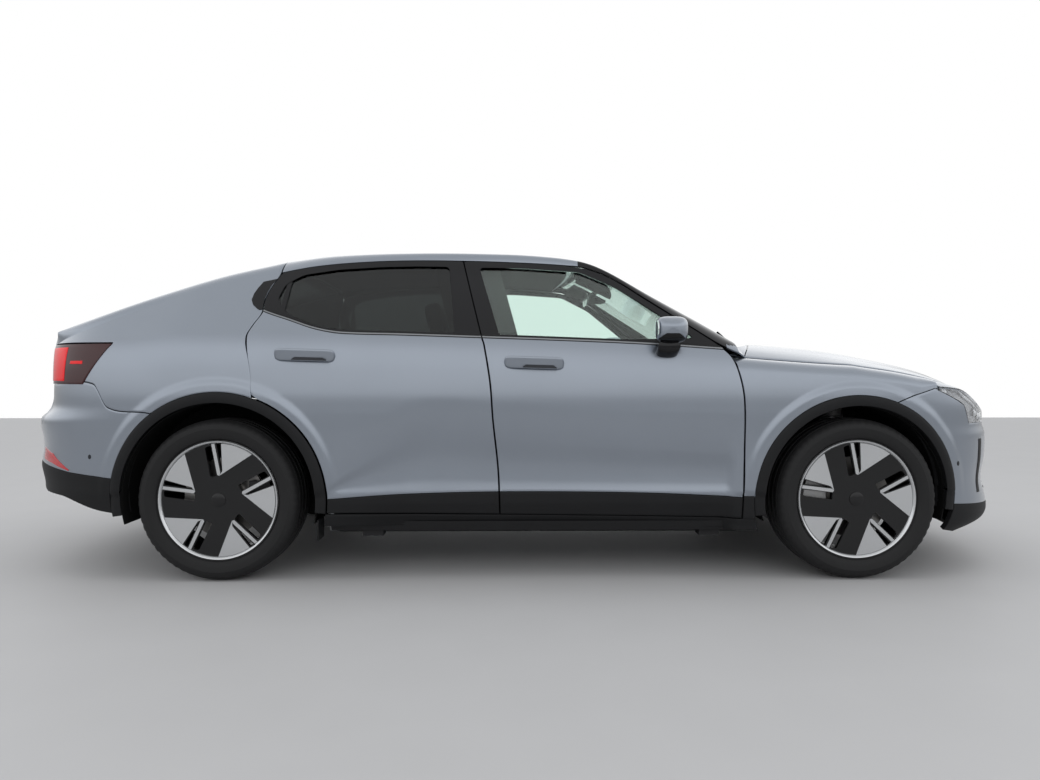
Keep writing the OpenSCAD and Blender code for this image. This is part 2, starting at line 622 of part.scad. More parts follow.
module roof() {
    color("slategray")
        panel(
            [for (w = across_shares) [for (u = roof_column_shares) roof_point(u, w)]],
            [for (w = across_shares) [for (u = roof_column_shares)
                roof_point(u, w * roof_edge_in_share) - [0, 0, roof_t]]]
        );
}
function screen_point(u, w, depth) =
    let (
        a = w * w,
        s = lerp(screen_top_shares[1], screen_base_shares[1], u),
        x_mid = station(lerp(screen_top_shares[0], screen_base_shares[0], u)),
        bulge = screen_bulge_share * 4 * u * (1 - u),
        z_mid = height * (lerp(screen_mid_shares[0], screen_mid_shares[1], u) + bulge),
        y = curve(rail_width_shares, s) * half_w - 4 * seat_gap,
        z_side = curve(rail_high_shares, s) * height
    )
    [lerp(x_mid, station(s), a), w * y, lerp(z_mid, z_side, a)] - depth * screen_depth_shares;
module windscreen() {
    color("lightseagreen", 0.4)
        panel(
            [for (w = across_shares) [for (u = roof_column_shares) screen_point(u, w, 0)]],
            [for (w = across_shares) [for (u = roof_column_shares) screen_point(u, w, glass_t)]]
        );
}

// Cowl between the windscreen and the hood
cowl_t = 22;
cowl_drop = 20;
cowl_row_shares = [0, 0.5, 1];
cowl_side_share = 0.97;
cowl_reach_share = 0.03;
module cowl() {
    function face(d) = [for (w = across_shares) [for (u = cowl_row_shares)
        let (
            p = screen_point(1, w * cowl_side_share, glass_t),
            q = hood_point(cowl_reach_share, w * cowl_side_share) - [0, 0, hood_t + cowl_drop]
        )
        lerp(p - [0, 0, seat_gap], q, u) - [0, 0, d]]];
    color("black")
        panel(face(0), face(cowl_t));
}

// Bumper covers
nose_row_shares = [0, 0.07, 0.143, 0.265, 0.43, 0.617, 0.78, 0.866, 0.94, 1];
nose_angles = [82, 78, 74.4, 71, 68, 66, 64.5, 58, 50, 45, 36, 24, 12, 0];
module front_bumper() {
    angles = [each nose_angles, for (k = [len(nose_angles) - 2 : -1 : 0]) -nose_angles[k]];
    function face(d) = [for (v = nose_row_shares) [for (t = angles)
        nose(t, height * lerp(curve(nose_low_shares, abs(t)), lookup(abs(t), nose_high_shares), v), d)]];
    color("slategray")
        difference() {
            panel(face(0), face(bumper_t));
            arch_cut(front_axle_x, front_trim_r + seat_gap);
        }
}
tail_row_shares = [0, 0.14, 0.3, 0.516, 0.744, 0.827, 0.935, 1];
tail_angles = [79.5, 76, 72, 69.9, 67.6, 65.2, 61, 55, 48, 43, 40.5, 32, 22, 11, 0];
module rear_bumper() {
    angles = [for (t = tail_angles) -t, for (k = [len(tail_angles) - 2 : -1 : 0]) tail_angles[k]];
    function face(d) = [for (v = tail_row_shares) [for (t = angles)
        tail(t, height * lerp(curve(tail_low_shares, abs(t)), lookup(abs(t), tail_high_shares), v), d)]];
    color("slategray")
        difference() {
            panel(face(0), face(bumper_t));
            arch_cut(rear_axle_x, rear_trim_r + seat_gap);
        }
}

// Lamps
lamp_t = 40;
lamp_row_shares = [0, 0.5, 1];
head_angles = [74.4, 71, 68, 66, 64.5, 58, 50, 45];
head_top_shares = [1.4, 1.787];
module headlamps() {
    n = len(head_angles) - 1;
    function face(d) = [
        for (v = lamp_row_shares) [for (t = head_angles)
            let (
                low = height * lookup(t, nose_high_shares) + seat_gap,
                high = height * curve(head_high_shares, t)
            )
            nose(t, lerp(low, high - d / 2, v), d)],
        [for (k = [0 : n])
            let (
                s = lerp(head_top_shares[0], head_top_shares[1], k / n),
                y = curve(hood_width_shares, s) * half_w
            )
            [station(s) + shut_gap, y + shut_gap, curve(hood_edge_shares, s) * height - d]]];
    color("whitesmoke", 0.6)
        for (side = [1, -1])
            on_side(side)
                panel(face(0), face(lamp_t));
}
tail_lamp_high_share = 0.685;
tail_lamp_low_angles = [41, 43, 48, 55, 61, 65.2];
tail_lamp_high_angles = [41, 43, 48, 55, 62, 70.2];
tail_lamp_turn = 4;
module tail_lamps() {
    n = len(tail_lamp_low_angles) - 1;
    function face(d) = [for (v = lamp_row_shares) [for (k = [0 : n])
        let (
            low = tail_lamp_low_angles[k],
            z0 = height * lookup(tail_lamp_low_angles[1], tail_high_shares) + seat_gap,
            turn = tail_lamp_turn * lerp(1, -1, k / n) * d / lamp_t
        )
        tail(lerp(low, tail_lamp_high_angles[k], v) + turn, lerp(z0, height * tail_lamp_high_share, v), d)]];
    color("firebrick")
        for (side = [1, -1])
            on_side(side)
                panel(face(0), face(lamp_t));
}

// Tailgate with its window
gate_row_shares = [0, 0.1, 0.22, 0.34, 0.46, 0.58, 0.69, 0.78, 0.86, 0.93, 1];
gate_face_shares = [0.02, 0.1, 0.25, 0.5, 0.75, 1];
gate_crown_power = 2.6;
gate_back_shares = [0.705, 0.7];
gate_low_share = 0.528;
gate_bow_share = 0.008;
gate_lip_share = 0.74;
// Inner face of the tailgate, as shares of the outer one's width, top and back
gate_side_in_share = 0.985;
gate_top_in_shares = [0.02, 0.955];
gate_back_in_shares = [0.18, 0.98];
gate_glass_row_shares = [0.02, 0.12, 0.24, 0.36, 0.48, 0.6, 0.72];
function gate_top(a, w) =
    let (
        b = abs(w),
        y_lip = b * gate_width_shares[len(gate_width_shares) - 1][1],
        lip = -length / 2 * pow(1 - pow(y_lip, tail_width_power), 1 / tail_length_power)
            + half_w * lookup(gate_lip_share, tail_inset_shares),
        start = station(gate_corner_station_shares[0] - gate_bow_share * (1 - b * b)) - shut_gap,
        z_side = curve(gate_edge_shares, a) * height,
        z_mid = curve(gate_mid_shares, a) * height
    )
    [lerp(start, lip, a), w * (curve(gate_width_shares, a) * half_w - shut_gap / 2),
        lerp(z_mid, z_side, pow(b, gate_crown_power))];
function gate_back(b, w) =
    let (
        top = gate_top(1, w),
        z = lerp(top[2], gate_low_share * height, b),
        share = abs(w) * lerp(gate_back_shares[0], gate_back_shares[1], b),
        x = -length / 2 * pow(1 - pow(share, tail_width_power), 1 / tail_length_power)
            + half_w * lookup(z / height, tail_inset_shares)
    )
    [x, sign(w) * share * half_w, z];
module tailgate() {
    p = gate_top_in_shares;
    q = gate_back_in_shares;
    color("slategray")
        difference() {
            panel(
                [for (a = gate_row_shares) [for (w = across_shares) gate_top(a, w)],
                    for (b = gate_face_shares) [for (w = across_shares) gate_back(b, w)]],
                [for (a = gate_row_shares) [for (w = across_shares)
                        gate_top(lerp(p[0], p[1], a), w * gate_side_in_share) - [0, 0, tailgate_t]],
                    for (b = gate_face_shares) [for (w = across_shares)
                        gate_back(lerp(q[0], q[1], b), w * gate_side_in_share) + [tailgate_t, 0, 0]]]
            );
            gate_window_cut(0);
        }
}
function gate_outline() =
    let (half = [for (p = gate_window_shares) let (q = gate_top(p[0], p[1])) [q[0], q[1]]])
    concat(half, [for (k = [len(half) - 2 : -1 : 0]) [half[k][0], -half[k][1]]]);
module gate_window_cut(gap) {
    linear_extrude(2 * height)
        offset(delta = -gap)
            polygon(gate_outline());
}
module tailgate_glass() {
    function face(d) = [for (a = gate_glass_row_shares) [for (w = across_shares)
        gate_top(a, w) - [0, 0, d]]];
    color("darkslategray", 0.5)
        intersection() {
            panel(face(glass_depth / 4), face(glass_depth / 4 + glass_t));
            gate_window_cut(seat_gap);
        }
}

// Trims round the wheel arches, and the liners behind them
trim_step = 14;
trim_angles = [for (k = [0 : 14]) k * trim_step - trim_step / 2];
trim_proud = 1;
liner_t = 4;
front_liner_in = 72;
rear_liner_in = 39;
front_liner_depth = 440;
rear_liner_depth = 265;
module arch_trim(x, r) {
    function face(d) = [for (q = [r, r + trim_w]) [for (t = trim_angles)
        let (px = x + q * cos(t), pz = hub_z + q * sin(t))
        [px, side_y(px, pz) - d, pz]]];
    panel(face(-trim_proud), face(trim_t));
}
module arch_trims() {
    color("dimgray")
        for (side = [1, -1])
            on_side(side) {
                arch_trim(front_axle_x, front_arch_r);
                arch_trim(rear_axle_x, rear_arch_r);
            }
}
module arch_liner(x, arch_r, liner_in, liner_depth) {
    r = arch_r * cos(trim_step / 2) - seat_gap;
    y1 = half_w - liner_in;
    difference() {
        translate([x, y1, hub_z])
            rotate([90, 0, 0])
                cylinder(r = r, h = liner_depth, $fn = 96);
        translate([x, y1 + overrun, hub_z])
            rotate([90, 0, 0])
                cylinder(r = r - liner_t, h = liner_depth + overrun - liner_t, $fn = 96);
        translate([x - 2 * r, 0, -hub_z])
            cube([4 * r, width, 2 * hub_z - r / 4]);
    }
}
module arch_liners() {
    color("black")
        for (side = [1, -1])
            on_side(side) {
                difference() {
                    arch_liner(front_axle_x, front_arch_r, front_liner_in, front_liner_depth);
                    translate([front_axle_x, ball_y, ball_z])
                        rotate([strut_lean, 0, 0])
                            cylinder(d = spring_d + 4 * running_gap, h = strut_l + overrun, $fn = 48);
                }
                arch_liner(rear_axle_x, rear_arch_r, rear_liner_in, rear_liner_depth);
            }
}

// Wheels and tyres, made at the origin with the outer side towards +Y
tyre_shoulder = 30;
tyre_bulge_share = 0.45;
bead_w = 12;
module tyre_profile() {
    w = tyre_w / 2;
    r1 = tyre_d / 2;
    r0 = rim_d / 2;
    b = rim_w / 2 - bead_w / 2;
    seat = r0 - bead_w + seat_gap;
    bulge = lerp(r0, r1, tyre_bulge_share);
    crown = r1 - tyre_wall - tyre_shoulder / 3;
    polygon([
        [seat, -b + bead_w], [seat, -b + seat_gap], [r0 + seat_gap, -b + seat_gap], [bulge, -w],
        [r1 - tyre_shoulder, -w + tyre_wall / 3], [r1 - tyre_wall / 2, -w + tyre_shoulder], [r1, -w / 2],
        [r1, w / 2], [r1 - tyre_wall / 2, w - tyre_shoulder], [r1 - tyre_shoulder, w - tyre_wall / 3],
        [bulge, w], [r0 + seat_gap, b - seat_gap], [seat, b - seat_gap], [seat, b - bead_w],
        [r0, b - bead_w], [bulge, w - tyre_wall], [crown, w - tyre_shoulder], [crown, tyre_shoulder - w],
        [bulge, tyre_wall - w], [r0, bead_w - b]
    ]);
}
module tyre_ring() {
    rotate([90, 0, 0])
        rotate_extrude($fn = 96)
            tyre_profile();
}
module rim_profile() {
    r0 = rim_d / 2;
    b = rim_w / 2;
    seat = r0 - bead_w;
    well = seat - bead_w;
    polygon([
        [r0, -b], [r0, -b + bead_w / 2], [seat, -b + bead_w / 2], [seat, -b / 2], [well, -b / 3],
        [well, b / 3], [seat, b / 2], [seat, b - bead_w / 2], [r0, b - bead_w / 2], [r0, b],
        [r0 - bead_w / 2, b], [seat - rim_wall, b - bead_w], [well - rim_wall, b / 3],
        [well - rim_wall, -b / 3],
        [seat - rim_wall, bead_w - b], [r0 - bead_w / 2, -b]
    ]);
}
// Slots of the spoked face in one fifth of the wheel: share of the radius, then angle from the spoke's edge
spoke_count = 5;
wide_slot_shares = [[0.93, -14.4], [0.945, -8], [0.413, -2.7], [0.407, -19.9]];
narrow_slot_shares = [[0.95, -3], [0.95, 2.5], [0.505, 7.2], [0.5, 4.2]];
function wheel_points(shares, r) = [for (p = shares) r * p[0] * [sin(p[1]), cos(p[1])]];
spindle_d = 62;
spindle_l = 40;
spindle_gap = 0.1;
hub_offset = 45;
hub_d = 150;
hat_d = 190;
module wheel_body() {
    difference() {
        wheel_solid();
        translate([0, spindle_l, 0])
            rotate([90, 0, 0])
                cylinder(d = spindle_d + 2 * spindle_gap, h = spindle_l + overrun, $fn = 64);
    }
}
module wheel_solid() {
    face_y = rim_w / 2 - spoke_t / 2;
    r = rim_d / 2 - 2 * bead_w;
    rotate([90, 0, 0])
        rotate_extrude($fn = 96)
            rim_profile();
    translate([0, face_y, 0])
        rotate([90, 0, 0])
            linear_extrude(spoke_t)
                difference() {
                    circle(r = r + rim_wall / 3, $fn = 96);
                    for (k = [0 : spoke_count - 1])
                        rotate(-k * 360 / spoke_count) {
                            polygon(wheel_points(wide_slot_shares, r));
                            polygon(wheel_points(narrow_slot_shares, r));
                        }
                }
    translate([0, face_y + bead_w / 4, 0])
        rotate([90, 0, 0])
            cylinder(d = hub_cap_d, h = spoke_t, $fn = 48);
    translate([0, face_y - spoke_t / 2, 0])
        rotate([90, 0, 0])
            cylinder(d = hub_d, h = face_y - spoke_t / 2 - hub_offset, $fn = 64);
    translate([0, hub_offset, 0])
        rotate([90, 0, 0])
            cylinder(d = hat_d, h = hub_offset, $fn = 64);
    translate([0, disc_t, 0])
        rotate([90, 0, 0])
            cylinder(d = disc_d, h = disc_t, $fn = 96);
}
module at_wheel(x, side) {
    translate([x, side * track / 2, hub_z])
        rotate([0, 0, side > 0 ? 0 : 180])
            children();
}
module wheel(x, side) {
    color("gainsboro")
        at_wheel(x, side)
            wheel_body();
}
module tyre(x, side) {
    color([0.08, 0.08, 0.08])
        at_wheel(x, side)
            tyre_ring();
}

// Front uprights with strut and caliper; they turn about the line from ball joint to strut mount
ball_in = 30;
ball_y = track / 2 - ball_in;
ball_z = 200;
mount_in = 220;
mount_y = track / 2 - mount_in;
mount_z = 800;
ball_d = 44;
spring_d = 105;
carrier_d = 130;
caliper_w = 56;
caliper_h = 150;
caliper_in = 116;
running_gap = 6;
caliper_r = rim_d / 2 - 2 * bead_w - rim_wall - 2 * running_gap;
strut_lean = atan((ball_y - mount_y) / (mount_z - ball_z));
strut_l = norm([ball_y - mount_y, mount_z - ball_z]);
module caliper(way) {
    difference() {
        intersection() {
            translate([0, caliper_w, 0])
                rotate([90, 0, 0])
                    cylinder(r = caliper_r, h = 2 * caliper_w, $fn = 96);
            translate([way > 0 ? caliper_in : -rim_d, -rim_w, -caliper_h / 2])
                cube([rim_d - caliper_in, 2 * rim_w, caliper_h]);
        }
        translate([0, disc_t + running_gap, 0])
            rotate([90, 0, 0])
                cylinder(d = disc_d + 3 * running_gap, h = disc_t + 2 * running_gap, $fn = 96);
    }
    translate([way > 0 ? 0 : -caliper_in - ball_d, -caliper_w, -ball_d / 2])
        cube([caliper_in + ball_d, caliper_w - 2 * running_gap, ball_d]);
}
module spindle() {
    translate([0, spindle_l - seat_gap, 0])
        rotate([90, 0, 0])
            cylinder(d = spindle_d, h = spindle_l + 2 * running_gap, $fn = 64);
}
module upright() {
    translate([0, -running_gap, 0])
        rotate([90, 0, 0])
            cylinder(d = carrier_d, h = carrier_d / 2, $fn = 64);
    spindle();
    translate([0, ball_y - track / 2, ball_z - hub_z])
        rotate([strut_lean, 0, 0])
            cylinder(d = ball_d, h = strut_l - seat_gap, $fn = 48);
    translate([0, ball_y - track / 2, ball_z - hub_z])
        rotate([strut_lean, 0, 0])
            translate([0, 0, strut_l * 0.8])
                cylinder(d = spring_d, h = strut_l * 0.2 - seat_gap, $fn = 48);
    caliper(-1);
}
module knuckle(side) {
    color("darkgray")
        translate([front_axle_x, side * track / 2, hub_z])
            mirror([0, side > 0 ? 0 : 1, 0])
                upright();
}

// Front carrier with the lower arms, and the rear carrier with its arms and hubs
carrier_w = 880;
carrier_l = 420;
carrier_h = 70;
arm_w = 70;
arm_t = 26;
tower_w = 130;
tower_t = 14;
module front_carrier() {
    arm_z = ball_z - arm_t - seat_gap - ball_d / 2 * sin(strut_lean);
    color("dimgray") {
        translate([front_axle_x - carrier_l / 2, -carrier_w / 2, ball_z - carrier_h / 2])
            cube([carrier_l, carrier_w, carrier_h]);
        for (side = [1, -1])
            mirror([0, side > 0 ? 0 : 1, 0]) {
                translate([front_axle_x - arm_w / 2, carrier_w / 2 - arm_w, arm_z])
                    cube([arm_w, ball_y - carrier_w / 2 + arm_w, arm_t]);
                translate([front_axle_x, ball_y, arm_z])
                    cylinder(d = ball_d, h = arm_t, $fn = 48);
            }
    }
}
// Front frame: side rails, strut towers and the crossmember that the hood rests on
rail_w = 66;
rail_h = 110;
rail_z = 430;
rail_y = 330;
hood_stop_d = 20;
hood_stop_shares = [0.78, 0.45, 0.87];
module front_frame() {
    cross_x = hood_point(hood_stop_shares[0], hood_stop_shares[1])[0];
    plate_z = mount_z + spring_d / 2 * sin(strut_lean);
    color("dimgray") {
        for (side = [1, -1])
            mirror([0, side > 0 ? 0 : 1, 0]) {
                translate([firewall_x + seat_gap, rail_y, rail_z])
                    cube([cross_x - firewall_x, rail_w, rail_h]);
                translate([front_axle_x - tower_w / 2, rail_y, rail_z])
                    cube([tower_w, tower_t, plate_z + tower_t - rail_z]);
                translate([front_axle_x - tower_w / 2, rail_y, plate_z])
                    cube([tower_w, mount_y + tower_w / 2 - rail_y, tower_t]);
                translate([front_axle_x + carrier_l / 2 - arm_w, rail_y, ball_z + carrier_h / 2 + seat_gap])
                    cube([arm_w, rail_w, rail_z - ball_z - carrier_h / 2]);
                hood_rest();
            }
        translate([cross_x - rail_w / 2, -rail_y - rail_w, rail_z])
            cube([rail_w, 2 * (rail_y + rail_w), rail_h]);
    }
}
function hood_under(u) =
    let (e = hood_edge_in_shares)
    hood_point(lerp(e[0], e[1], u), hood_stop_shares[1] * e[1]) - [0, 0, hood_t];
module hood_rest() {
    p = hood_under(hood_stop_shares[0]);
    d = hood_under(hood_stop_shares[2]) - p;
    top = p[2] + hood_stop_d / 2 * d[2] / d[0] - 2 * seat_gap;
    translate([p[0], p[1], rail_z])
        cylinder(d = hood_stop_d, h = top - rail_z, $fn = 32);
}
module rear_carrier() {
    arm_l = (track - carrier_w) / 2 + arm_w - 2 * running_gap - carrier_d / 4;
    color("dimgray") {
        translate([rear_axle_x - carrier_l / 2, -carrier_w / 2, ball_z - carrier_h / 2])
            cube([carrier_l, carrier_w, carrier_h]);
        for (side = [1, -1])
            mirror([0, side > 0 ? 0 : 1, 0]) {
                translate([rear_axle_x - arm_w / 2, carrier_w / 2 - arm_w, ball_z - arm_t])
                    cube([arm_w, arm_l, arm_t]);
                translate([rear_axle_x - arm_w / 2, track / 2 - carrier_d / 2 - running_gap, ball_z - arm_t])
                    cube([arm_w, carrier_d / 4, hub_z - ball_z + arm_t]);
                translate([rear_axle_x, track / 2, hub_z]) {
                    spindle();
                    translate([0, -running_gap, 0])
                        rotate([90, 0, 0])
                            cylinder(d = carrier_d, h = carrier_d / 2, $fn = 64);
                    caliper(1);
                }
                translate([rear_axle_x - carrier_l / 2, carrier_w / 2 - arm_w, ball_z])
                    cube([arm_w, arm_w, boot_floor_z - floor_t - seat_gap - ball_z]);
            }
    }
}

// Battery and drive units, the heavy masses
battery_l = 1900;
battery_w = 2 * (sill_y - sill_in - shut_gap);
battery_h = 115;
clearance_z = 165;
module battery_pack() {
    color("gray")
        translate([(rear_axle_x + front_axle_x - battery_l) / 2, -battery_w / 2, clearance_z])
            cube([battery_l, battery_w, battery_h]);
}
drive_l = 420;
drive_w = 560;
drive_h = 300;
module drive_unit(x) {
    color("gray")
        translate([x - drive_l / 2, -drive_w / 2, ball_z + carrier_h / 2 + seat_gap])
            cube([drive_l, drive_w, drive_h]);
}

// Floor with the firewall, rear bulkhead and boot floor
floor_t = 20;
firewall_w = 900;
boot_floor_z = 560;
boot_w = 2 * (half_w - rear_liner_in - rear_liner_depth - seat_gap);
tail_panel_w = 440;
floor_top = clearance_z + battery_h + seat_gap + floor_t;
firewall_x = front_axle_x - front_arch_r;
tail_panel_x = -length / 2 + half_w * lookup(gate_low_share, tail_inset_shares) + tailgate_t + 2 * seat_gap;
module floor_pan() {
    z0 = floor_top - floor_t;
    x0 = rear_axle_x + rear_arch_r;
    x1 = firewall_x;
    boot_x = tail_panel_x + 4 * floor_t;
    floor_w = 2 * (sill_y - sill_in - seat_gap);
    color("dimgray") {
        translate([x0, -floor_w / 2, z0])
            cube([x1 - x0, floor_w, floor_t]);
        translate([x1 - floor_t, -firewall_w / 2, z0])
            cube([floor_t, firewall_w, height * 0.62 - z0]);
        translate([x0, -boot_w / 2, z0])
            cube([floor_t, boot_w, boot_floor_z - z0]);
        translate([boot_x, -boot_w / 2, boot_floor_z - floor_t])
            cube([x0 + floor_t - boot_x, boot_w, floor_t]);
        translate([tail_panel_x, -tail_panel_w / 2, boot_floor_z - floor_t])
            cube([5 * floor_t, tail_panel_w, floor_t]);
        translate([tail_panel_x, -tail_panel_w / 2, boot_floor_z - floor_t])
            cube([floor_t, tail_panel_w, height * gate_low_share - boot_floor_z]);
        translate([tail_panel_x, -floor_t, boot_floor_z - floor_t])
            cube([floor_t, 2 * floor_t, height * gate_low_share + 2 * floor_t - boot_floor_z]);
    }
}

// Dashboard and steering wheel
dash_side = 239.5;
dash_w = 2 * (half_w - dash_side);
dash_h = 190;
dash_drop = 224.96;
dash_z = height * screen_mid_shares[1] - dash_drop;
dash_share = 0.705;
dash_x = station(dash_share);
dash_l = firewall_x - floor_t - seat_gap - dash_x;
module dashboard() {
    color("black")
        steer_column();
    color("black")
        translate([dash_x, dash_w / 2, dash_z])
            rotate([90, 0, 0])
                linear_extrude(dash_w)
                    polygon([[0, dash_h * 0.2], [dash_l * 0.1, dash_h * 0.9], [dash_l * 0.4, dash_h],
                        [dash_l, dash_h * 0.85], [dash_l, dash_h * 0.2], [dash_l * 0.3, 0]]);
}
steer_d = 370;
steer_rim_d = 32;
steer_tilt = 64;
cabin_side = 189.5;
steer_y = (half_w - cabin_side) / 2;
steer_share = 0.585;
steer_station_share = 0.665;
column_d = 56;
column_l = 190;
module at_steering() {
    translate([station(steer_station_share), -steer_y, height * steer_share])
        rotate([0, -steer_tilt, 0])
            children();
}
module steer_column() {
    at_steering()
        translate([0, 0, -column_l - steer_rim_d / 2 - seat_gap])
            cylinder(d = column_d, h = column_l, $fn = 48);
}
module steering_wheel() {
    color("black")
        at_steering() {
                rotate_extrude($fn = 64)
                    translate([steer_d / 2 - steer_rim_d / 2, 0])
                        circle(d = steer_rim_d, $fn = 24);
                translate([-steer_d / 2 + steer_rim_d / 2, -steer_rim_d, -steer_rim_d / 3])
                    cube([steer_d - steer_rim_d, 2 * steer_rim_d, steer_rim_d * 0.7]);
                translate([-steer_rim_d, -steer_d / 2 + steer_rim_d / 2, -steer_rim_d / 3])
                    cube([2 * steer_rim_d, steer_d - steer_rim_d, steer_rim_d * 0.7]);
                cylinder(d = steer_d * 0.42, h = steer_rim_d, center = true, $fn = 48);
            }
}

// Seats
seat_w = 500;
seat_l = 520;
seat_h = 175;
back_h = 620;
back_t = 130;
head_w = 270;
head_h = 190;
head_t = 90;
seat_z = floor_top + seat_gap;
recline = 22;
front_seat_share = 0.41;
rear_seat_share = 0.165;
module seat() {
    rotate([90, 0, 0])
        linear_extrude(seat_w, center = true)
            polygon([
                [0, 0], [seat_l, seat_h * 0.2], [seat_l, seat_h * 0.9], [seat_l * 0.8, seat_h * 1.1],
                [back_t, seat_h * 0.9], [back_t - back_h * sin(recline), seat_h + back_h * cos(recline)],
                [-back_h * sin(recline), seat_h + back_h * cos(recline)]
            ]);
    head_z = seat_h + back_h * cos(recline) - head_h / 10;
    translate([-(back_h + head_h / 2) * sin(recline), -head_w / 2, head_z])
        cube([head_t, head_w, head_h]);
}
module front_seats() {
    color("black")
        for (side = [1, -1])
            translate([station(front_seat_share), side * steer_y, seat_z])
                seat();
}
rear_seat_side = 339.5;
rear_seat_w = 2 * (half_w - rear_seat_side);
module rear_seat() {
    rise = boot_floor_z - seat_z + seat_gap;
    top = [-back_h * sin(recline), seat_h + back_h * cos(recline)];
    color("black")
        translate([station(rear_seat_share), rear_seat_w / 2, seat_z])
            rotate([90, 0, 0])
                linear_extrude(rear_seat_w)
                    polygon([
                        [0, 0], [seat_l, seat_h * 0.2], [seat_l, seat_h * 0.9], [seat_l * 0.8, seat_h * 1.1],
                        [back_t, seat_h * 0.9], top + [back_t, 0], top, [top[0] * rise / top[1], rise],
                        [0, rise]
                    ]);
}

// Mirrors on the front doors
mirror_w = 126;
mirror_h = 130;
mirror_l = 130;
mirror_share = 0.703;
mirror_foot_share = 0.683;
module mirror_housing(side) {
    x = station(mirror_share);
    z = height * mirror_foot_share;
    function skin(d) = [for (v = door_row_shares) [for (u = door_column_shares)
        door_point(u, v, d, middle_line_shares, front_door_line_shares)]];
    color("slategray")
        on_side(side)
            difference() {
                translate([x, half_w - mirror_w / 2, z]) {
                    hull() {
                        translate([-mirror_l / 2, 0, 0])
                            cube([mirror_l * 0.4, mirror_w, mirror_h * 0.9]);
                        translate([-mirror_l * 0.4, mirror_w * 0.05, mirror_h * 0.15])
                            cube([mirror_l, mirror_w * 0.85, mirror_h * 0.4]);
                    }
                    translate([-mirror_l * 0.35, -mirror_w * 0.3, -mirror_h * 0.4])
                        cube([mirror_l * 0.6, mirror_w * 0.6, mirror_h * 0.45]);
                }
                panel(skin(-2 * seat_gap), skin(2 * mirror_w));
            }
}

front_door(1);  // front_door_left
front_door(-1);  // front_door_right
rear_door(1);  // rear_door_left
rear_door(-1);  // rear_door_right
front_glass(1);  // front_glass_left
front_glass(-1);  // front_glass_right
rear_glass(1);  // rear_glass_left
rear_glass(-1);  // rear_glass_right
body_side(1);  // body_side_left
body_side(-1);  // body_side_right
quarter(1);  // quarter_left
quarter(-1);  // quarter_right
fender(1);  // fender_left
fender(-1);  // fender_right
hood();
roof();
windscreen();
cowl();
front_bumper();
rear_bumper();
headlamps();
tail_lamps();
tailgate();
tailgate_glass();
arch_trims();
arch_liners();
wheel(front_axle_x, 1);  // wheel_front_left
wheel(front_axle_x, -1);  // wheel_front_right
wheel(rear_axle_x, 1);  // wheel_rear_left
wheel(rear_axle_x, -1);  // wheel_rear_right
tyre(front_axle_x, 1);  // tyre_front_left
tyre(front_axle_x, -1);  // tyre_front_right
tyre(rear_axle_x, 1);  // tyre_rear_left
tyre(rear_axle_x, -1);  // tyre_rear_right
knuckle(1);  // knuckle_left
knuckle(-1);  // knuckle_right
front_carrier();
rear_carrier();
front_frame();
battery_pack();
drive_unit(front_axle_x);  // front_drive_unit
drive_unit(rear_axle_x);  // rear_drive_unit
floor_pan();
dashboard();
steering_wheel();
front_seats();
rear_seat();
mirror_housing(1);  // mirror_left
mirror_housing(-1);  // mirror_right
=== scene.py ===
import math
import bpy
import numpy as np
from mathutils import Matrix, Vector
from mathutils.geometry import delaunay_2d_cdt


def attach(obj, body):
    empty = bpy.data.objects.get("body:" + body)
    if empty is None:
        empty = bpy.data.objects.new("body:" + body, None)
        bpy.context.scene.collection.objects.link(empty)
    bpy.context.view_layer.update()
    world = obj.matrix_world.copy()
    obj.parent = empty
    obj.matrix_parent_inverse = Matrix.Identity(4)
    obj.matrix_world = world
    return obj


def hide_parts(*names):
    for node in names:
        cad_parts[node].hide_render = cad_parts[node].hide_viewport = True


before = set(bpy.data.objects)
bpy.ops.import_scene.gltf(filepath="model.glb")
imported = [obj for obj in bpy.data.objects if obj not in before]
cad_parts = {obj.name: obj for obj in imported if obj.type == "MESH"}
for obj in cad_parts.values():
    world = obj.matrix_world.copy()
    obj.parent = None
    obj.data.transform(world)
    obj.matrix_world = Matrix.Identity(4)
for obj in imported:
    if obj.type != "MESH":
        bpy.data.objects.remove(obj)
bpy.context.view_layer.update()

# Door skins: pressed steel panels, painted in a metallic blue-grey under clear coat.
# Each is hemmed round the edge of the door's frame and hangs with it on its hinges.
LENGTH, WIDTH, HEIGHT = 4.606, 1.859, 1.480
WHEELBASE, FRONT_OVERHANG = 2.735, 0.873
HALF = WIDTH / 2
REAR_OVERHANG = LENGTH - WHEELBASE - FRONT_OVERHANG
REAR_AXLE = REAR_OVERHANG - LENGTH / 2
FRONT_AXLE = REAR_AXLE + WHEELBASE
HUB_Z = 0.346
FRONT_TRIM_R, REAR_TRIM_R, TRIM_W = 0.447, 0.461, 0.039
SHUT_GAP = 0.006
FLANK = [(0.486, 0), (0.541, 0.003), (0.608, 0.015), (0.649, 0.028), (0.676, 0.041), (0.696, 0.056), (0.706, 0.068),
         (0.76, 0.125), (0.824, 0.198), (0.9, 0.29), (0.946, 0.343), (0.973, 0.386), (1, 0.44)]
BELT = [(-1, 0.72), (0, 0.72), (0.1, 0.72), (0.196, 0.717), (0.286, 0.713), (0.408, 0.7055), (0.527, 0.698),
        (0.663, 0.687), (0.796, 0.671), (0.9, 0.665)]
CREASE = [(0.166, 0.262), (0.22, 0.33), (0.314, 0.4155), (0.44, 0.4055), (0.6585, 0.38), (0.82, 0.364)]
CREASE_INSET, CREASE_FADE = 0.0172, 0.118
HOLLOW = [(0, 0.0258), (0.25, 0.033), (0.6, 0.0344), (1, 0.0172)]
HOLLOW_FADE = [(0.15, 0), (0.2, 0.5), (0.3, 1), (0.795, 1), (0.808, 0.1), (0.83, 0)]
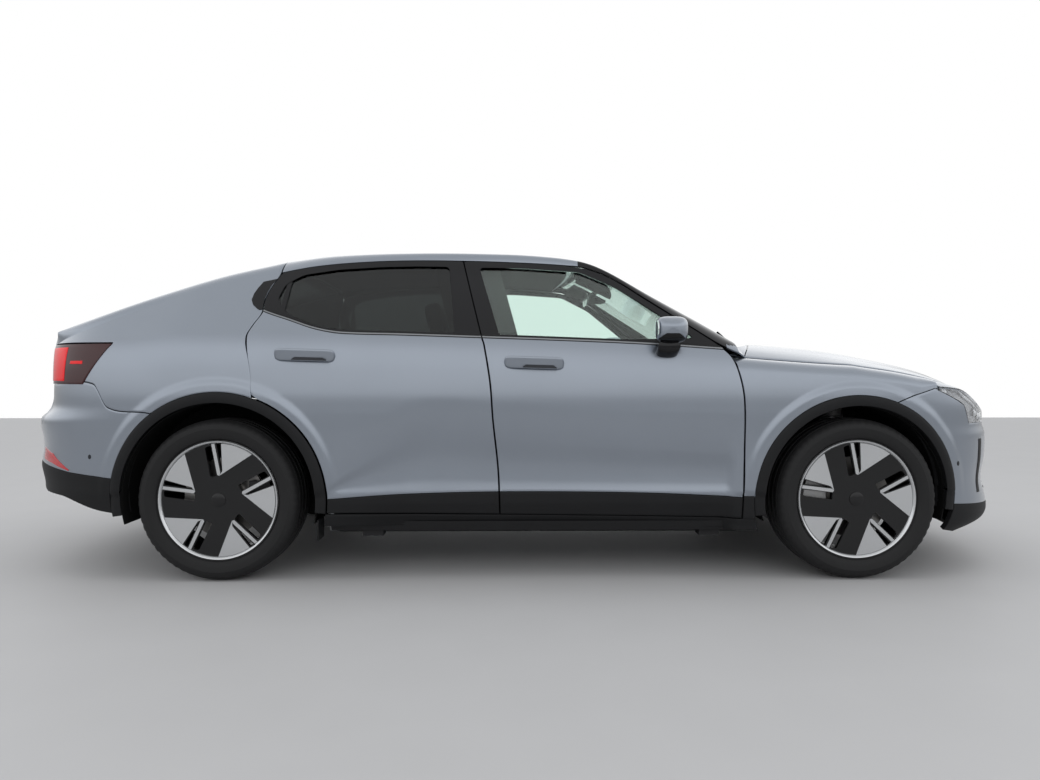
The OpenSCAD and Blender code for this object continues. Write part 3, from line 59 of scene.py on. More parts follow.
SILL_INSET = [(0.1, 0.11), (0.159, 0.0753), (0.186, 0.043), (0.223, 0.028), (0.253, 0.0258)]
FRONT_DOOR_LINE = [(0.181, 0.818), (0.242, 0.819), (0.377, 0.82), (0.516, 0.82), (0.59, 0.814), (0.645, 0.8037),
                   (0.672, 0.7905), (0.69, 0.7795), (0.815, 0.683), (0.895, 0.6208), (0.9285, 0.576), (0.9385, 0.539)]
MIDDLE_LINE = [(0.19, 0.4387), (0.32, 0.4358), (0.4655, 0.4278), (0.5716, 0.4234), (0.684, 0.4135), (0.702, 0.4102),
               (0.935, 0.3777), (0.96, 0.375)]
REAR_DOOR_LINE = [(0.45, 0.0567), (0.524, 0.0548), (0.604, 0.0505), (0.706, 0.0431), (0.743, 0.05), (0.78, 0.0603),
                  (0.8175, 0.0603), (0.86, 0.066), (0.9, 0.076), (0.96, 0.08)]
DOOR_LOW = [(0.16, 0.198), (0.66, 0.186), (0.82, 0.181)]
DOOR_HIGH = [(0.0684, 0.9035), (0.12, 0.9255), (0.171, 0.9385), (0.24, 0.948), (0.309, 0.9515), (0.378, 0.9507),
             (0.446, 0.9475), (0.539, 0.9385), (0.576, 0.9285)]
GLASS_LINE = [(-1.215, 1.222), (-1.166, 1.175), (-1.12, 1.152), (-1.015, 1.117), (-0.919, 1.084), (-0.84, 1.066), (-0.769, 1.058),
              (-0.523, 1.052), (-0.188, 1.041), (0.136, 1.030), (0.509, 1.014), (0.867, 0.990), (1.0, 0.98)]
CLADDING_LINE = [(-0.95, 0.346), (-0.862, 0.350), (-0.533, 0.370), (-0.105, 0.380), (0.496, 0.375), (0.936, 0.357), (1.0, 0.355)]


def lerp(a, b, t):
    return a + (b - a) * t


def station(s):
    s = np.asarray(s, float)
    return np.where(s < 0, REAR_AXLE + s * REAR_OVERHANG, np.where(s > 1, FRONT_AXLE + (s - 1) * FRONT_OVERHANG, REAR_AXLE + s * WHEELBASE))


def station_of(x):
    x = np.asarray(x, float)
    return np.where(x < REAR_AXLE, (x - REAR_AXLE) / REAR_OVERHANG,
                    np.where(x > FRONT_AXLE, 1 + (x - FRONT_AXLE) / FRONT_OVERHANG, (x - REAR_AXLE) / WHEELBASE))


def curve(rows, x):
    t = np.array(rows, float)
    x = np.asarray(x, float)
    n = len(t)
    low, high = np.maximum(np.arange(n) - 1, 0), np.minimum(np.arange(n) + 1, n - 1)
    m = (t[high, 1] - t[low, 1]) / (t[high, 0] - t[low, 0])
    k = np.clip(np.searchsorted(t[:, 0], x, side="right") - 1, 0, n - 2)
    d = t[k + 1, 0] - t[k, 0]
    q = np.clip((x - t[k, 0]) / d, 0, 1)
    a, b = t[k, 1], t[k + 1, 1]
    return a + q * q * (3 - 2 * q) * (b - a) + d * q * (1 - q) * ((1 - q) * m[k] - q * m[k + 1])


def look(rows, x):
    t = np.array(rows, float)
    return np.interp(x, t[:, 0], t[:, 1])


def fade(x):
    q = np.clip(x, 0, 1)
    return q * q * (3 - 2 * q)


def half_plan(x):
    a = np.minimum(np.abs(x) / (LENGTH / 2), 1)
    return HALF * np.where(x > 0, (1 - a ** 10.5) ** (1 / 1.75), (1 - a ** 9) ** (1 / 3))


def flare(x, z):
    """Rise of the panels towards the wheel arches."""
    high = 0 * x
    for axle, r in ((FRONT_AXLE, FRONT_TRIM_R), (REAR_AXLE, REAR_TRIM_R)):
        high = high + 0.006 * (1 - fade((np.hypot(x - axle, z - HUB_Z) - r - 0.03) / 0.035)) * fade((z - 0.3) / 0.2)
    return high


def side_y(x, z):
    """Half width of the body side at a place and height."""
    s, h = station_of(x), z / HEIGHT
    waist = np.where((s < 0.1) | (s > 0.9), 0, HALF * 0.012 * np.sin(np.pi * (np.clip(s, 0.1, 0.9) - 0.1) / 0.8))
    c, b = curve(CREASE, s), 0.253
    hollow = look(HOLLOW_FADE, s)
    low = np.where(h < b, look(SILL_INSET, h) * np.maximum(hollow, 0.35),
                   hollow * np.where(h < c, curve(HOLLOW, (h - b) / (c - b)),
                                     CREASE_INSET * np.maximum(0, 1 - (h - c) / CREASE_FADE) ** 2))
    shift = (curve(BELT, s) - 0.7) * fade((h - 0.55) / 0.13)
    return half_plan(x) - waist - HALF * (curve(FLANK, h - shift) + low) + flare(x, z)


def line_x(line, z):
    return station(curve(line, z / HEIGHT))


def arch_z(x, axle, r):
    return HUB_Z + np.sqrt(np.maximum(r * r - (x - axle) ** 2, 0))


def arch_x(z, axle, r, way):
    return axle + way * np.sqrt(np.maximum(r * r - (z - HUB_Z) ** 2, 0))


def flank_grid(rear, front, low, high, columns, rows):
    """Points of the body side between two edges along the car and two up it."""
    u, v = np.linspace(0, 1, columns)[None, :], np.linspace(0, 1, rows)[:, None]
    z = np.full((rows, columns), 0.7)
    for _ in range(8):
        x = lerp(rear(z), front(z), u)
        z = lerp(low(x), high(x), v)
    return np.stack([x, side_y(x, z), z], -1)


def unit(v):
    return v / np.maximum(np.linalg.norm(v, axis=-1, keepdims=True), 1e-9)


def outward(grid):
    n = unit(np.cross(np.gradient(grid, axis=1), np.gradient(grid, axis=0)))
    middle = grid * [0.5, 0, 0] + [0, 0, 0.6]
    return n if np.sum(n * (grid - middle)) > 0 else -n


def shell(grid, thick, bead=0.002, proud=0.0, keep=None):
    """Vertices and faces of a closed panel with a rounded edge behind a grid of points on its outer face."""
    rows, cols = grid.shape[:2]
    n = outward(grid)
    base = (grid + n * proud).reshape(-1, 3)
    n = n.reshape(-1, 3)
    quads = [(i * cols + j, i * cols + j + 1, (i + 1) * cols + j + 1, (i + 1) * cols + j)
             for i in range(rows - 1) for j in range(cols - 1) if keep is None or keep[i, j]]
    a, b, c, d = np.array(quads).T
    if np.sum(np.cross(base[c] - base[a], base[d] - base[b]) * n[a]) < 0:
        quads = [q[::-1] for q in quads]
    arrows = {(q[k], q[(k + 1) % 4]) for q in quads for k in range(4)}
    edges = [e for e in arrows if (e[1], e[0]) not in arrows]
    rim = {v: k for k, v in enumerate(sorted({e[0] for e in edges}))}
    inward = np.zeros_like(base)
    for q in quads:
        for v in q:
            if v in rim:
                inward[v] += base[list(q)].mean(0) - base[v]
    used = {v: k for k, v in enumerate(sorted({v for q in quads for v in q}))}
    order, around, count = list(used), list(rim), len(used)
    outer = base + bead * unit(inward)
    verts = np.vstack([outer[order], (base - n * thick)[order], (base - n * bead)[around]])
    faces = [tuple(used[v] for v in q) for q in quads]
    faces += [tuple(count + v for v in f[::-1]) for f in faces]
    for e, f in edges:
        p, q = 2 * count + rim[e], 2 * count + rim[f]
        faces += [(used[e], p, q, used[f]), (p, count + used[e], count + used[f], q)]
    return verts, faces


def piece(name, parts, material, body, side=1, nodes=(), flat=False):
    """One object from lists of vertices and faces, on the left (1) or mirrored to the right (-1)."""
    verts, faces = [], []
    for v, f in parts:
        faces += [tuple(len(verts) + i for i in (q if side > 0 else q[::-1])) for q in f]
        verts += (np.asarray(v, float) * [1, side, 1]).tolist()
    mesh = bpy.data.meshes.new(name)
    mesh.from_pydata(verts, [], faces)
    mesh.polygons.foreach_set("use_smooth", [not flat] * len(faces))
    mesh.set_sharp_from_angle(angle=math.radians(50))
    mesh.materials.append(material)
    obj = bpy.data.objects.new(name, mesh)
    bpy.context.scene.collection.objects.link(obj)
    if not flat:
        smooth = obj.modifiers.new("even_light", "WEIGHTED_NORMAL")
        smooth.keep_sharp = True
    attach(obj, body)
    if nodes:
        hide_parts(*nodes)
    return obj


def new_group(name, inputs, outputs):
    group = bpy.data.node_groups.new(name, "ShaderNodeTree")
    for title, kind, value in inputs:
        socket = group.interface.new_socket(title, in_out="INPUT", socket_type=kind)
        socket.default_value = value
    for title, kind in outputs:
        group.interface.new_socket(title, in_out="OUTPUT", socket_type=kind)
    return group, group.nodes.new("NodeGroupInput"), group.nodes.new("NodeGroupOutput")


def speckle_group():
    """Fine cells that change a colour a little and tilt the surface: metal flake, moulded grain, rubber bloom."""
    group, source, out = new_group(
        "speckle", [("Color", "NodeSocketColor", (1, 1, 1, 1)), ("Scale", "NodeSocketFloat", 500.0),
                    ("Spread", "NodeSocketFloat", 0.1), ("Relief", "NodeSocketFloat", 0.1)],
        [("Color", "NodeSocketColor"), ("Height", "NodeSocketFloat")])
    place = group.nodes.new("ShaderNodeTexCoord")
    cells = group.nodes.new("ShaderNodeTexVoronoi")
    cloud = group.nodes.new("ShaderNodeTexNoise")
    cloud.inputs["Scale"].default_value = 5.0
    mixed = group.nodes.new("ShaderNodeMath")
    mixed.operation = "ADD"
    shade = group.nodes.new("ShaderNodeMapRange")
    low = group.nodes.new("ShaderNodeMath")
    low.operation = "SUBTRACT"
    low.inputs[0].default_value = 1.0
    high = group.nodes.new("ShaderNodeMath")
    high.operation = "ADD"
    high.inputs[0].default_value = 1.0
    tint = group.nodes.new("ShaderNodeMix")
    tint.data_type = "RGBA"
    tint.blend_type = "MULTIPLY"
    tint.inputs["Factor"].default_value = 1.0
    lift = group.nodes.new("ShaderNodeMath")
    lift.operation = "MULTIPLY"
    link = group.links.new
    link(place.outputs["Object"], cells.inputs["Vector"])
    link(place.outputs["Object"], cloud.inputs["Vector"])
    link(source.outputs["Scale"], cells.inputs["Scale"])
    link(cells.outputs["Distance"], mixed.inputs[0])
    link(cloud.outputs["Fac"], mixed.inputs[1])
    link(mixed.outputs[0], shade.inputs["Value"])
    shade.inputs["From Max"].default_value = 1.6
    link(source.outputs["Spread"], low.inputs[1])
    link(source.outputs["Spread"], high.inputs[1])
    link(low.outputs[0], shade.inputs["To Min"])
    link(high.outputs[0], shade.inputs["To Max"])
    link(source.outputs["Color"], tint.inputs["A"])
    link(shade.outputs["Result"], tint.inputs["B"])
    link(cells.outputs["Distance"], lift.inputs[0])
    link(source.outputs["Relief"], lift.inputs[1])
    link(tint.outputs["Result"], out.inputs["Color"])
    link(lift.outputs[0], out.inputs["Height"])
    return group


SPECKLE = speckle_group()


def finish(name, color, rough, metal=0.0, scale=500.0, spread=0.08, relief=0.2, bump=0.0002, **sockets):
    """A Principled material with the speckle in its colour and bump."""
    material = bpy.data.materials.new(name)
    material.use_nodes = True
    tree = material.node_tree
    shader = tree.nodes["Principled BSDF"]
    shader.inputs["Roughness"].default_value = rough
    shader.inputs["Metallic"].default_value = metal
    for title, value in sockets.items():
        shader.inputs[title.replace("_", " ").title().replace("Ior", "IOR")].default_value = value
    node = tree.nodes.new("ShaderNodeGroup")
    node.node_tree = SPECKLE
    node.inputs["Color"].default_value = (*color, 1)
    node.inputs["Scale"].default_value = scale
    node.inputs["Spread"].default_value = spread
    node.inputs["Relief"].default_value = relief
    bumps = tree.nodes.new("ShaderNodeBump")
    bumps.inputs["Distance"].default_value = bump
    tree.links.new(node.outputs["Color"], shader.inputs["Base Color"])
    tree.links.new(node.outputs["Height"], bumps.inputs["Height"])
    tree.links.new(bumps.outputs["Normal"], shader.inputs["Normal"])
    return material


PAINT = finish("blue_grey_metallic", (0.275, 0.307, 0.355), 0.28, metal=0.88, scale=900, spread=0.05, relief=0.05,
               bump=0.00005, coat_weight=1.0, coat_roughness=0.02)
GLOSS_BLACK = finish("gloss_black", (0.004, 0.004, 0.005), 0.12, scale=300, spread=0.1, relief=0.02, bump=0.00002, specular_ior_level=0.35)
GRAINED = finish("grained_dark_plastic", (0.010, 0.0102, 0.011), 0.55, scale=700, spread=0.25, relief=0.6, bump=0.0003, specular_ior_level=0.2)
INNER_TRIM = finish("door_inner_trim", (0.012, 0.012, 0.013), 0.6, scale=600, spread=0.2, relief=0.5, bump=0.0002, specular_ior_level=0.3)
SIDES = [("left", 1), ("right", -1)]


def belt_z(x):
    return curve(GLASS_LINE, x)


def sill_z(x):
    return curve(CLADDING_LINE, x)


def door_grids(rear_line, front_line, low, high, columns, rows, arch=False):
    def rear(z):
        x = line_x(rear_line, z) + SHUT_GAP / 2
        return np.maximum(x, arch_x(z, REAR_AXLE, REAR_TRIM_R + SHUT_GAP, 1)) if arch else x
    return flank_grid(rear, lambda z: line_x(front_line, z) - SHUT_GAP / 2, low, high, columns, rows)


def door_low(x):
    return curve(DOOR_LOW, station_of(x)) * HEIGHT


def door_high(x):
    return curve(DOOR_HIGH, station_of(x)) * HEIGHT - SHUT_GAP


front_skin = door_grids(MIDDLE_LINE, FRONT_DOOR_LINE, sill_z, lambda x: belt_z(x) - 0.002, 90, 70)
rear_skin = door_grids(REAR_DOOR_LINE, MIDDLE_LINE, sill_z, lambda x: belt_z(x) - 0.002, 90, 70, arch=True)
front_core = door_grids(MIDDLE_LINE, FRONT_DOOR_LINE, door_low, belt_z, 60, 50)
rear_core = door_grids(REAR_DOOR_LINE, MIDDLE_LINE, door_low, belt_z, 60, 50, arch=True)
for word, side in SIDES:
    for end, skin, core in (("front", front_skin, front_core), ("rear", rear_skin, rear_core)):
        body = f"{end}_door_{word}"
        piece(f"{end}_door_skin_{word}", [shell(skin, 0.006, proud=0.001)], PAINT, body, side)
        piece(f"{end}_door_core_{word}", [shell(core, 0.062, 0.008, -0.004)], INNER_TRIM, body, side, [body])

# Door cladding: strips of grained dark plastic along the foot of each door.
# They are moulded, and clipped to the skin above them.
front_foot = door_grids(MIDDLE_LINE, FRONT_DOOR_LINE, door_low, lambda x: sill_z(x) - 0.001, 60, 14)
rear_foot = door_grids(REAR_DOOR_LINE, MIDDLE_LINE, door_low, lambda x: sill_z(x) - 0.001, 60, 14, arch=True)
for word, side in SIDES:
    piece(f"front_door_cladding_{word}", [shell(front_foot, 0.008, proud=0.003)], GRAINED, f"front_door_{word}", side)
    piece(f"rear_door_cladding_{word}", [shell(rear_foot, 0.008, proud=0.003)], GRAINED, f"rear_door_{word}", side)

# Window frames: gloss black covers round the side windows, with a black piece on each rear quarter
# and a division bar in each rear window. They are moulded and clipped on.
FRONT_WINDOW = [(0.438, 0.708), (0.403, 0.928), (0.47, 0.9265), (0.57, 0.914), (0.63, 0.862), (0.7, 0.768), (0.748, 0.703), (0.6, 0.697)]
REAR_WINDOW = [(0.367, 0.712), (0.353, 0.93), (0.3, 0.931), (0.24, 0.928), (0.17, 0.918), (0.115, 0.9), (0.088, 0.868),
               (0.08, 0.82), (0.1, 0.775), (0.15, 0.735), (0.2, 0.722)]


def rounded(points, radius, step=0.03):
    """A closed outline with rounded corners, its edges cut into short steps."""
    p = np.asarray(points, float)
    n, out = len(p), []
    cut = [min(radius, 0.45 * np.linalg.norm(p[i - 1] - p[i]), 0.45 * np.linalg.norm(p[(i + 1) % n] - p[i])) for i in range(n)]
    for i in range(n):
        a, b, c = p[i - 1], p[i], p[(i + 1) % n]
        start, end = b + unit(a - b) * cut[i], b + unit(c - b) * cut[i]
        out += [(1 - q) ** 2 * start + 2 * q * (1 - q) * b + q * q * end for q in np.linspace(0, 1, 7)]
        after = c + unit(b - c) * cut[(i + 1) % n]
        k = int(np.linalg.norm(after - end) / step)
        out += [lerp(end, after, j / (k + 1)) for j in range(1, k + 1)]
    return np.array(out)


def within(points, loop):
    x, y = points[:, 0][:, None], points[:, 1][:, None]
    a, b = loop, np.roll(loop, -1, 0)
    rise = np.where(np.abs(b[:, 1] - a[:, 1]) < 1e-12, 1e-12, b[:, 1] - a[:, 1])
    crossed = ((a[:, 1] > y) != (b[:, 1] > y)) & (x < (b[:, 0] - a[:, 0]) * (y - a[:, 1]) / rise + a[:, 0])
    return crossed.sum(1) % 2 == 1


def plate(loops, place, thick, step=None):
    """A closed plate from flat loops, the outline first and then its holes, laid on a surface by place(points, depth)."""
    loops = [np.asarray(loop, float) for loop in loops]
    points, edges, start = np.vstack(loops), [], 0
    for loop in loops:
        n = len(loop)
        edges += [(start + i, start + (i + 1) % n) for i in range(n)]
        start += n
    if step:
        low, high = loops[0].min(0), loops[0].max(0)
        steps = np.broadcast_to(step, 2)
        mesh = np.stack(np.meshgrid(np.arange(low[0], high[0], steps[0]), np.arange(low[1], high[1], steps[1])), -1).reshape(-1, 2)
        keep = within(mesh, loops[0])
        for loop in loops[1:]:
            keep &= ~within(mesh, loop)
        points = np.vstack([points, mesh[keep]])
    flat, _, cells = delaunay_2d_cdt([Vector(p) for p in points], edges, [], 0, 1e-6)[:3]
    flat = np.array([tuple(p) for p in flat])
    cells = [tuple(c) for c in cells]
    middles = np.array([flat[list(c)].mean(0) for c in cells])
    keep = within(middles, loops[0])
    for loop in loops[1:]:
        keep &= ~within(middles, loop)
    outer, inner = place(flat, 0), place(flat, thick)
    faces = [c for c, k in zip(cells, keep) if k]
    facing = sum(np.dot(np.cross(outer[c[1]] - outer[c[0]], outer[c[2]] - outer[c[0]]), outer[c[0]] - inner[c[0]]) for c in faces)
    if facing < 0:
        faces = [c[::-1] for c in faces]
    n = len(flat)
    arrows = {(c[i], c[(i + 1) % 3]) for c in faces for i in range(3)}
    walls = [(a, a + n, b + n, b) for a, b in arrows if (b, a) not in arrows]
    return np.vstack([outer, inner]), faces + [tuple(i + n for i in c[::-1]) for c in faces] + walls


def on_flank(proud):
    def place(p, depth):
        return np.stack([p[:, 0], side_y(p[:, 0], p[:, 1]) + proud - depth, p[:, 1]], -1)
    return place


def window_loop(shares):
    return rounded([(float(station(s)), h * HEIGHT) for s, h in shares], 0.022)


def frame_loop(rear_line, front_line, rear_top, front_top):
    half = SHUT_GAP / 2
    z0 = 1.16 if rear_line is REAR_DOOR_LINE else 1.04
    low_rear = float(line_x(rear_line, z0)) + half
    low_front = float(line_x(front_line, 1.0)) - half
    foot = [(x, float(belt_z(x)) - 0.004) for x in np.linspace(low_rear, low_front, 40)]
    front = [(float(line_x(front_line, z)) - half, z) for z in np.linspace(foot[-1][1] + 0.02, front_top * HEIGHT - half, 24)]
    rear = [(float(line_x(rear_line, z)) + half, z) for z in np.linspace(rear_top * HEIGHT - half, foot[0][1] + 0.02, 18)]
    roof = [(x, float(door_high(x)) + half) for x in np.linspace(front[-1][0] - 0.01, rear[0][0] + 0.01, 40)]
    return foot + front + roof + rear


front_window, rear_window = window_loop(FRONT_WINDOW), window_loop(REAR_WINDOW)
front_frame_loop = frame_loop(MIDDLE_LINE, FRONT_DOOR_LINE, 0.948, 0.926)
rear_frame_loop = frame_loop(REAR_DOOR_LINE, MIDDLE_LINE, 0.9, 0.948)
bar = rounded([(-1.066, 1.155), (-1.046, 1.148), (-1.036, 1.328), (-1.056, 1.326)], 0.004)
corner_line = [(float(line_x(REAR_DOOR_LINE, z)) - SHUT_GAP / 2, z) for z in np.linspace(1.312, 1.166, 14)]
quarter_black = corner_line + [(-1.155, 1.164), (-1.166, 1.170), (-1.188, 1.188), (-1.199, 1.211), (-1.195, 1.24), (-1.184, 1.266), (-1.165, 1.298)]
for word, side in SIDES:
    piece(f"front_window_frame_{word}", [plate([front_frame_loop, front_window], on_flank(0.001), 0.030, step=0.015)], GLOSS_BLACK,
          f"front_door_{word}", side)
    piece(f"rear_window_frame_{word}", [plate([rear_frame_loop, rear_window], on_flank(0.001), 0.030, step=0.015), plate([bar], on_flank(-0.001), 0.008)],
          GLOSS_BLACK, f"rear_door_{word}", side)
    piece(f"quarter_window_cover_{word}", [plate([quarter_black], on_flank(0.002), 0.006, step=0.02)], GLOSS_BLACK, "body", side)

# Side windows: curved safety glass, faintly green in the front doors and darkly tinted in the rear ones.
# Each pane stands in its frame a little behind the door's outer face.
def pane_glass(name, color, rough=0.0):
    material = bpy.data.materials.new(name)
    material.use_nodes = True
    shader = material.node_tree.nodes["Principled BSDF"]
    shader.inputs["Base Color"].default_value = (*color, 1)
    shader.inputs["Roughness"].default_value = rough
    shader.inputs["IOR"].default_value = 1.45
    shader.inputs["Transmission Weight"].default_value = 1.0
    shader.inputs["Specular IOR Level"].default_value = 0.3
    return material


CLEAR_GLASS = pane_glass("clear_glass", (0.80, 0.92, 0.87))
TINTED_GLASS = pane_glass("privacy_glass", (0.10, 0.115, 0.112))
for word, side in SIDES:
    piece(f"front_pane_{word}", [plate([front_window], on_flank(-0.009), 0.004, step=0.03)], CLEAR_GLASS,
          f"front_door_{word}", side, [f"front_glass_{word}"])
    piece(f"rear_pane_{word}", [plate([rear_window], on_flank(-0.009), 0.004, step=0.03)], TINTED_GLASS,
          f"rear_door_{word}", side, [f"rear_glass_{word}"])

# Belt mouldings: bright strips under the side windows with a black rubber lip.
# They are rolled from anodised aluminium and pressed onto the door's edge.
BRIGHT = finish("satin_aluminium", (0.30, 0.31, 0.32), 0.3, metal=1.0, scale=200, spread=0.05, relief=0.02, bump=0.00002)
for word, side in SIDES:
    for end, lines in (("front", (MIDDLE_LINE, FRONT_DOOR_LINE)), ("rear", (REAR_DOOR_LINE, MIDDLE_LINE))):
        strip = door_grids(*lines, lambda x: belt_z(x) - 0.001, lambda x: belt_z(x) + 0.005, 80, 5)
        lip = door_grids(*lines, lambda x: belt_z(x) + 0.005, lambda x: belt_z(x) + 0.015, 80, 4)
        piece(f"{end}_belt_moulding_{word}", [shell(strip, 0.006, 0.001, 0.004)], BRIGHT, f"{end}_door_{word}", side)
        piece(f"{end}_belt_lip_{word}", [shell(lip, 0.006, 0.001, 0.003)], GRAINED, f"{end}_door_{word}", side)

# Door handles: painted pull bars, each with a flat dark plate of painted shade under its grip.
# Each is moulded, painted with the body and screwed on from inside.
def loft(sections):
    """A closed skin through rings of points, with its two ends filled."""
    rings = np.asarray(sections, float)
    k, m = rings.shape[:2]
    verts = np.vstack([rings.reshape(-1, 3), rings[0].mean(0), rings[-1].mean(0)])
    faces = [(i * m + j, i * m + (j + 1) % m, (i + 1) * m + (j + 1) % m, (i + 1) * m + j) for i in range(k - 1) for j in range(m)]
    faces += [(k * m, (j + 1) % m, j) for j in range(m)]
    faces += [(k * m + 1, (k - 1) * m + j, (k - 1) * m + (j + 1) % m) for j in range(m)]
    ring, step = rings[:-1], rings[1:] - rings[:-1]
    around = np.roll(rings, -1, 1)[:-1] - ring
    if np.sum(np.cross(around, step) * (ring - ring.mean(1, keepdims=True))) < 0:
        faces = [f[::-1] for f in faces]
    return verts, faces


def oval(a, b, power=2.5, count=28, start=0.0, turn=2 * math.pi):
    t = start + np.arange(count) * turn / (count if turn > 6.2 else count - 1)
    return np.stack([a * np.sign(np.cos(t)) * np.abs(np.cos(t)) ** (2 / power), b * np.sign(np.sin(t)) * np.abs(np.sin(t)) ** (2 / power)], -1)


def handle_bar(x0, x1, z0, slope):
    rings = []
    for q in np.concatenate([np.linspace(0, 0.12, 9), np.linspace(0.12, 0.88, 18)[1:], np.linspace(0.88, 1, 9)[1:]]):
        x = lerp(x0, x1, q)
        z = z0 + slope * (x - x0)
        swell = max(1 - (2 * abs(q - 0.5)) ** 14, 0.0) ** 0.5 + 0.02
        out = 0.004 + 0.018 * (1 - (2 * abs(q - 0.5)) ** 4)
        ring = oval(0.010 * swell, 0.026 * swell, 3.4)
        rings.append([(x, float(side_y(x, z)) + out + p[0] + 0.18 * p[1] * (p[0] > 0), z + p[1]) for p in ring])
    return loft(rings)


# The grip plate is a flat dark sheet under each bar: painted shade standing for the slot behind the grip.
def grip_shade_plate(x0, x1, z0, slope):
    ring = rounded([(lerp(x0, x1, 0.3), -0.022), (lerp(x0, x1, 0.88), -0.022), (lerp(x0, x1, 0.82), -0.010), (lerp(x0, x1, 0.36), -0.010)], 0.004, 0.01)
    ring[:, 1] += z0 + slope * (ring[:, 0] - x0)
    return plate([ring], on_flank(0.032), 0.01, step=0.02)


# A darker copy of the blue-grey body paint: painted shade, used on the handles' grip plates and the parking sensor
# caps.
PAINTED_SHADE_BLUE_GREY = finish("shaded_blue_grey", (0.02, 0.022, 0.027), 0.45, metal=0.4, scale=900, spread=0.05, relief=0.05)
for word, side in SIDES:
    for end, spot in (("front", (-0.088, 0.170, 0.936, -0.03)), ("rear", (-1.062, -0.804, 0.968, -0.03))):
        piece(f"{end}_handle_{word}", [handle_bar(*spot)], PAINT, f"{end}_door_{word}", side)
        piece(f"{end}_grip_{word}", [grip_shade_plate(*spot)], PAINTED_SHADE_BLUE_GREY, f"{end}_door_{word}", side)

# Mirrors: a painted cap over a black housing on a rounded stem, with silvered glass facing back.
# Moulded shells, screwed to each front door.
def mirror_rings(start, turn, count=24):
    rings = []
    for q in np.linspace(0, 1, 18):
        y = lerp(0.868, 0.990, q)
        swell = (np.sin(np.pi * (0.08 + 0.86 * q))) ** 0.5
        ring = oval(0.070 * swell, 0.056 * swell, 3.6, count, start, turn)
        x0 = 0.628 - 0.01 * q
        rings.append([(x0 + p[0], y, 1.072 + p[1]) for p in ring])
    return rings


SILVERED = finish("silvered_glass", (0.7, 0.72, 0.73), 0.03, metal=1.0, scale=50, spread=0.02, relief=0.0)
stem = [[(0.612 + p[0], lerp(0.850, 0.938, q), 0.972 + 0.03 * q * q + p[1] * lerp(1, 0.75, q)) for p in oval(0.048, 0.030, 2.4)] for q in np.linspace(0, 1, 8)]
stem += [[(0.612 + 0.5 * (x - 0.612), 0.942, 1.0 + 0.5 * (z - 1.0)) for x, _, z in stem[-1]]]
for word, side in SIDES:
    body = f"front_door_{word}"
    piece(f"mirror_cap_{word}", [loft(mirror_rings(-0.62, math.pi + 1.24))], PAINT, body, side, [f"mirror_{word}"])
    piece(f"mirror_base_{word}", [loft(mirror_rings(math.pi + 0.62, math.pi - 1.24)), loft(stem)], GLOSS_BLACK, body, side)
    pane = [(lerp(0.886, 0.978, q), 1.075 + h) for q, h in [(0.05, -0.032), (0.95, -0.028), (1, 0.0), (0.92, 0.034), (0.08, 0.036), (0, 0.0)]]
    piece(f"mirror_pane_{word}", [plate([rounded(pane, 0.02)], lambda p, d: np.stack([0.5585 + d + 0 * p[:, 0], p[:, 0], p[:, 1]], -1), 0.004)],
          SILVERED, body, side)

# Front fenders and rear quarters: pressed steel, painted with the body.
# The fenders are bolted on; the quarters are welded to the body sides.
HOOD_EDGE = [(0.806, 0.6475), (0.83, 0.645), (0.87, 0.639), (0.9525, 0.628), (1.046, 0.619), (1.2405, 0.602), (1.436, 0.578),
             (1.535, 0.558), (1.707, 0.513), (1.787, 0.495)]
HOOD_WIDTH = [(0.806, 0.862), (1.046, 0.86), (1.2405, 0.852), (1.436, 0.825), (1.535, 0.795), (1.707, 0.7), (1.787, 0.64)]
FENDER_LOW = [(0.8, 0.246), (0.9, 0.246), (1.08, 0.47), (1.195, 0.517), (1.39, 0.5565)]
GATE_EDGE = [(0, 0.9455), (0.264, 0.9007), (0.549, 0.835), (0.834, 0.764), (1, 0.725)]
GATE_WIDTH = [(0, 0.608), (0.264, 0.645), (0.549, 0.7), (0.834, 0.742), (1, 0.748)]
QUARTER_LOW = [(-0.782, 0.5685), (-0.54, 0.569), (-0.47, 0.502), (-0.285, 0.486), (-0.1, 0.45), (0.06, 0.45)]
ROLL = 0.052


NOSE = [(0.101, 0.247), (0.132, 0.071), (0.161, 0), (0.209, 0), (0.274, 0.032), (0.347, 0.012), (0.411, 0.01), (0.4446, 0.03),
        (0.473, 0.032), (0.509, 0.043), (0.537, 0.081), (0.561, 0.11)]
TAIL = [(0.18, 0.12), (0.232, 0.05), (0.247, 0.027), (0.272, 0.0215), (0.318, 0.003), (0.341, 0.0075), (0.378, 0.017), (0.405, 0.013),
        (0.4426, 0), (0.466, 0.0075), (0.481, 0.043), (0.4966, 0.073), (0.5135, 0.081), (0.561, 0.081), (0.676, 0.075), (0.696, 0.084),
        (0.721, 0.0925), (0.76, 0.0925)]


def end_point(degrees, z, n, m, insets, way):
    t, z = np.broadcast_arrays(np.radians(degrees), z)
    p0 = LENGTH / 2 * np.cos(t) ** (2 / n)
    p1 = HALF * np.abs(np.sin(t)) ** (2 / m)
    v0, v1 = 2 * n / LENGTH * (2 * p0 / LENGTH) ** (n - 1), m / HALF * (p1 / HALF) ** (m - 1)
    size = np.hypot(v0, v1)
    v0, v1, h = v0 / size, v1 / size, z / HEIGHT
    flank = np.where(h < 0.25, look([(0.1, 0.09), (0.15, 0.04), (0.2, 0.01), (0.25, 0)], h), curve(FLANK, h))
    d = HALF * (v0 * v0 * curve(insets, h) + v1 * v1 * flank)
    x = p0 - v0 * d
    return np.stack([x, np.sign(t) * (p1 - v1 * d + flare(x * np.sign(way), z)), z], -1)


def nose(t, z):
    return end_point(t, z, 10.5, 1.75, NOSE, 1)


def tail(t, z):
    return end_point(t, z, 9, 3, TAIL, -1) * [-1, 1, 1]


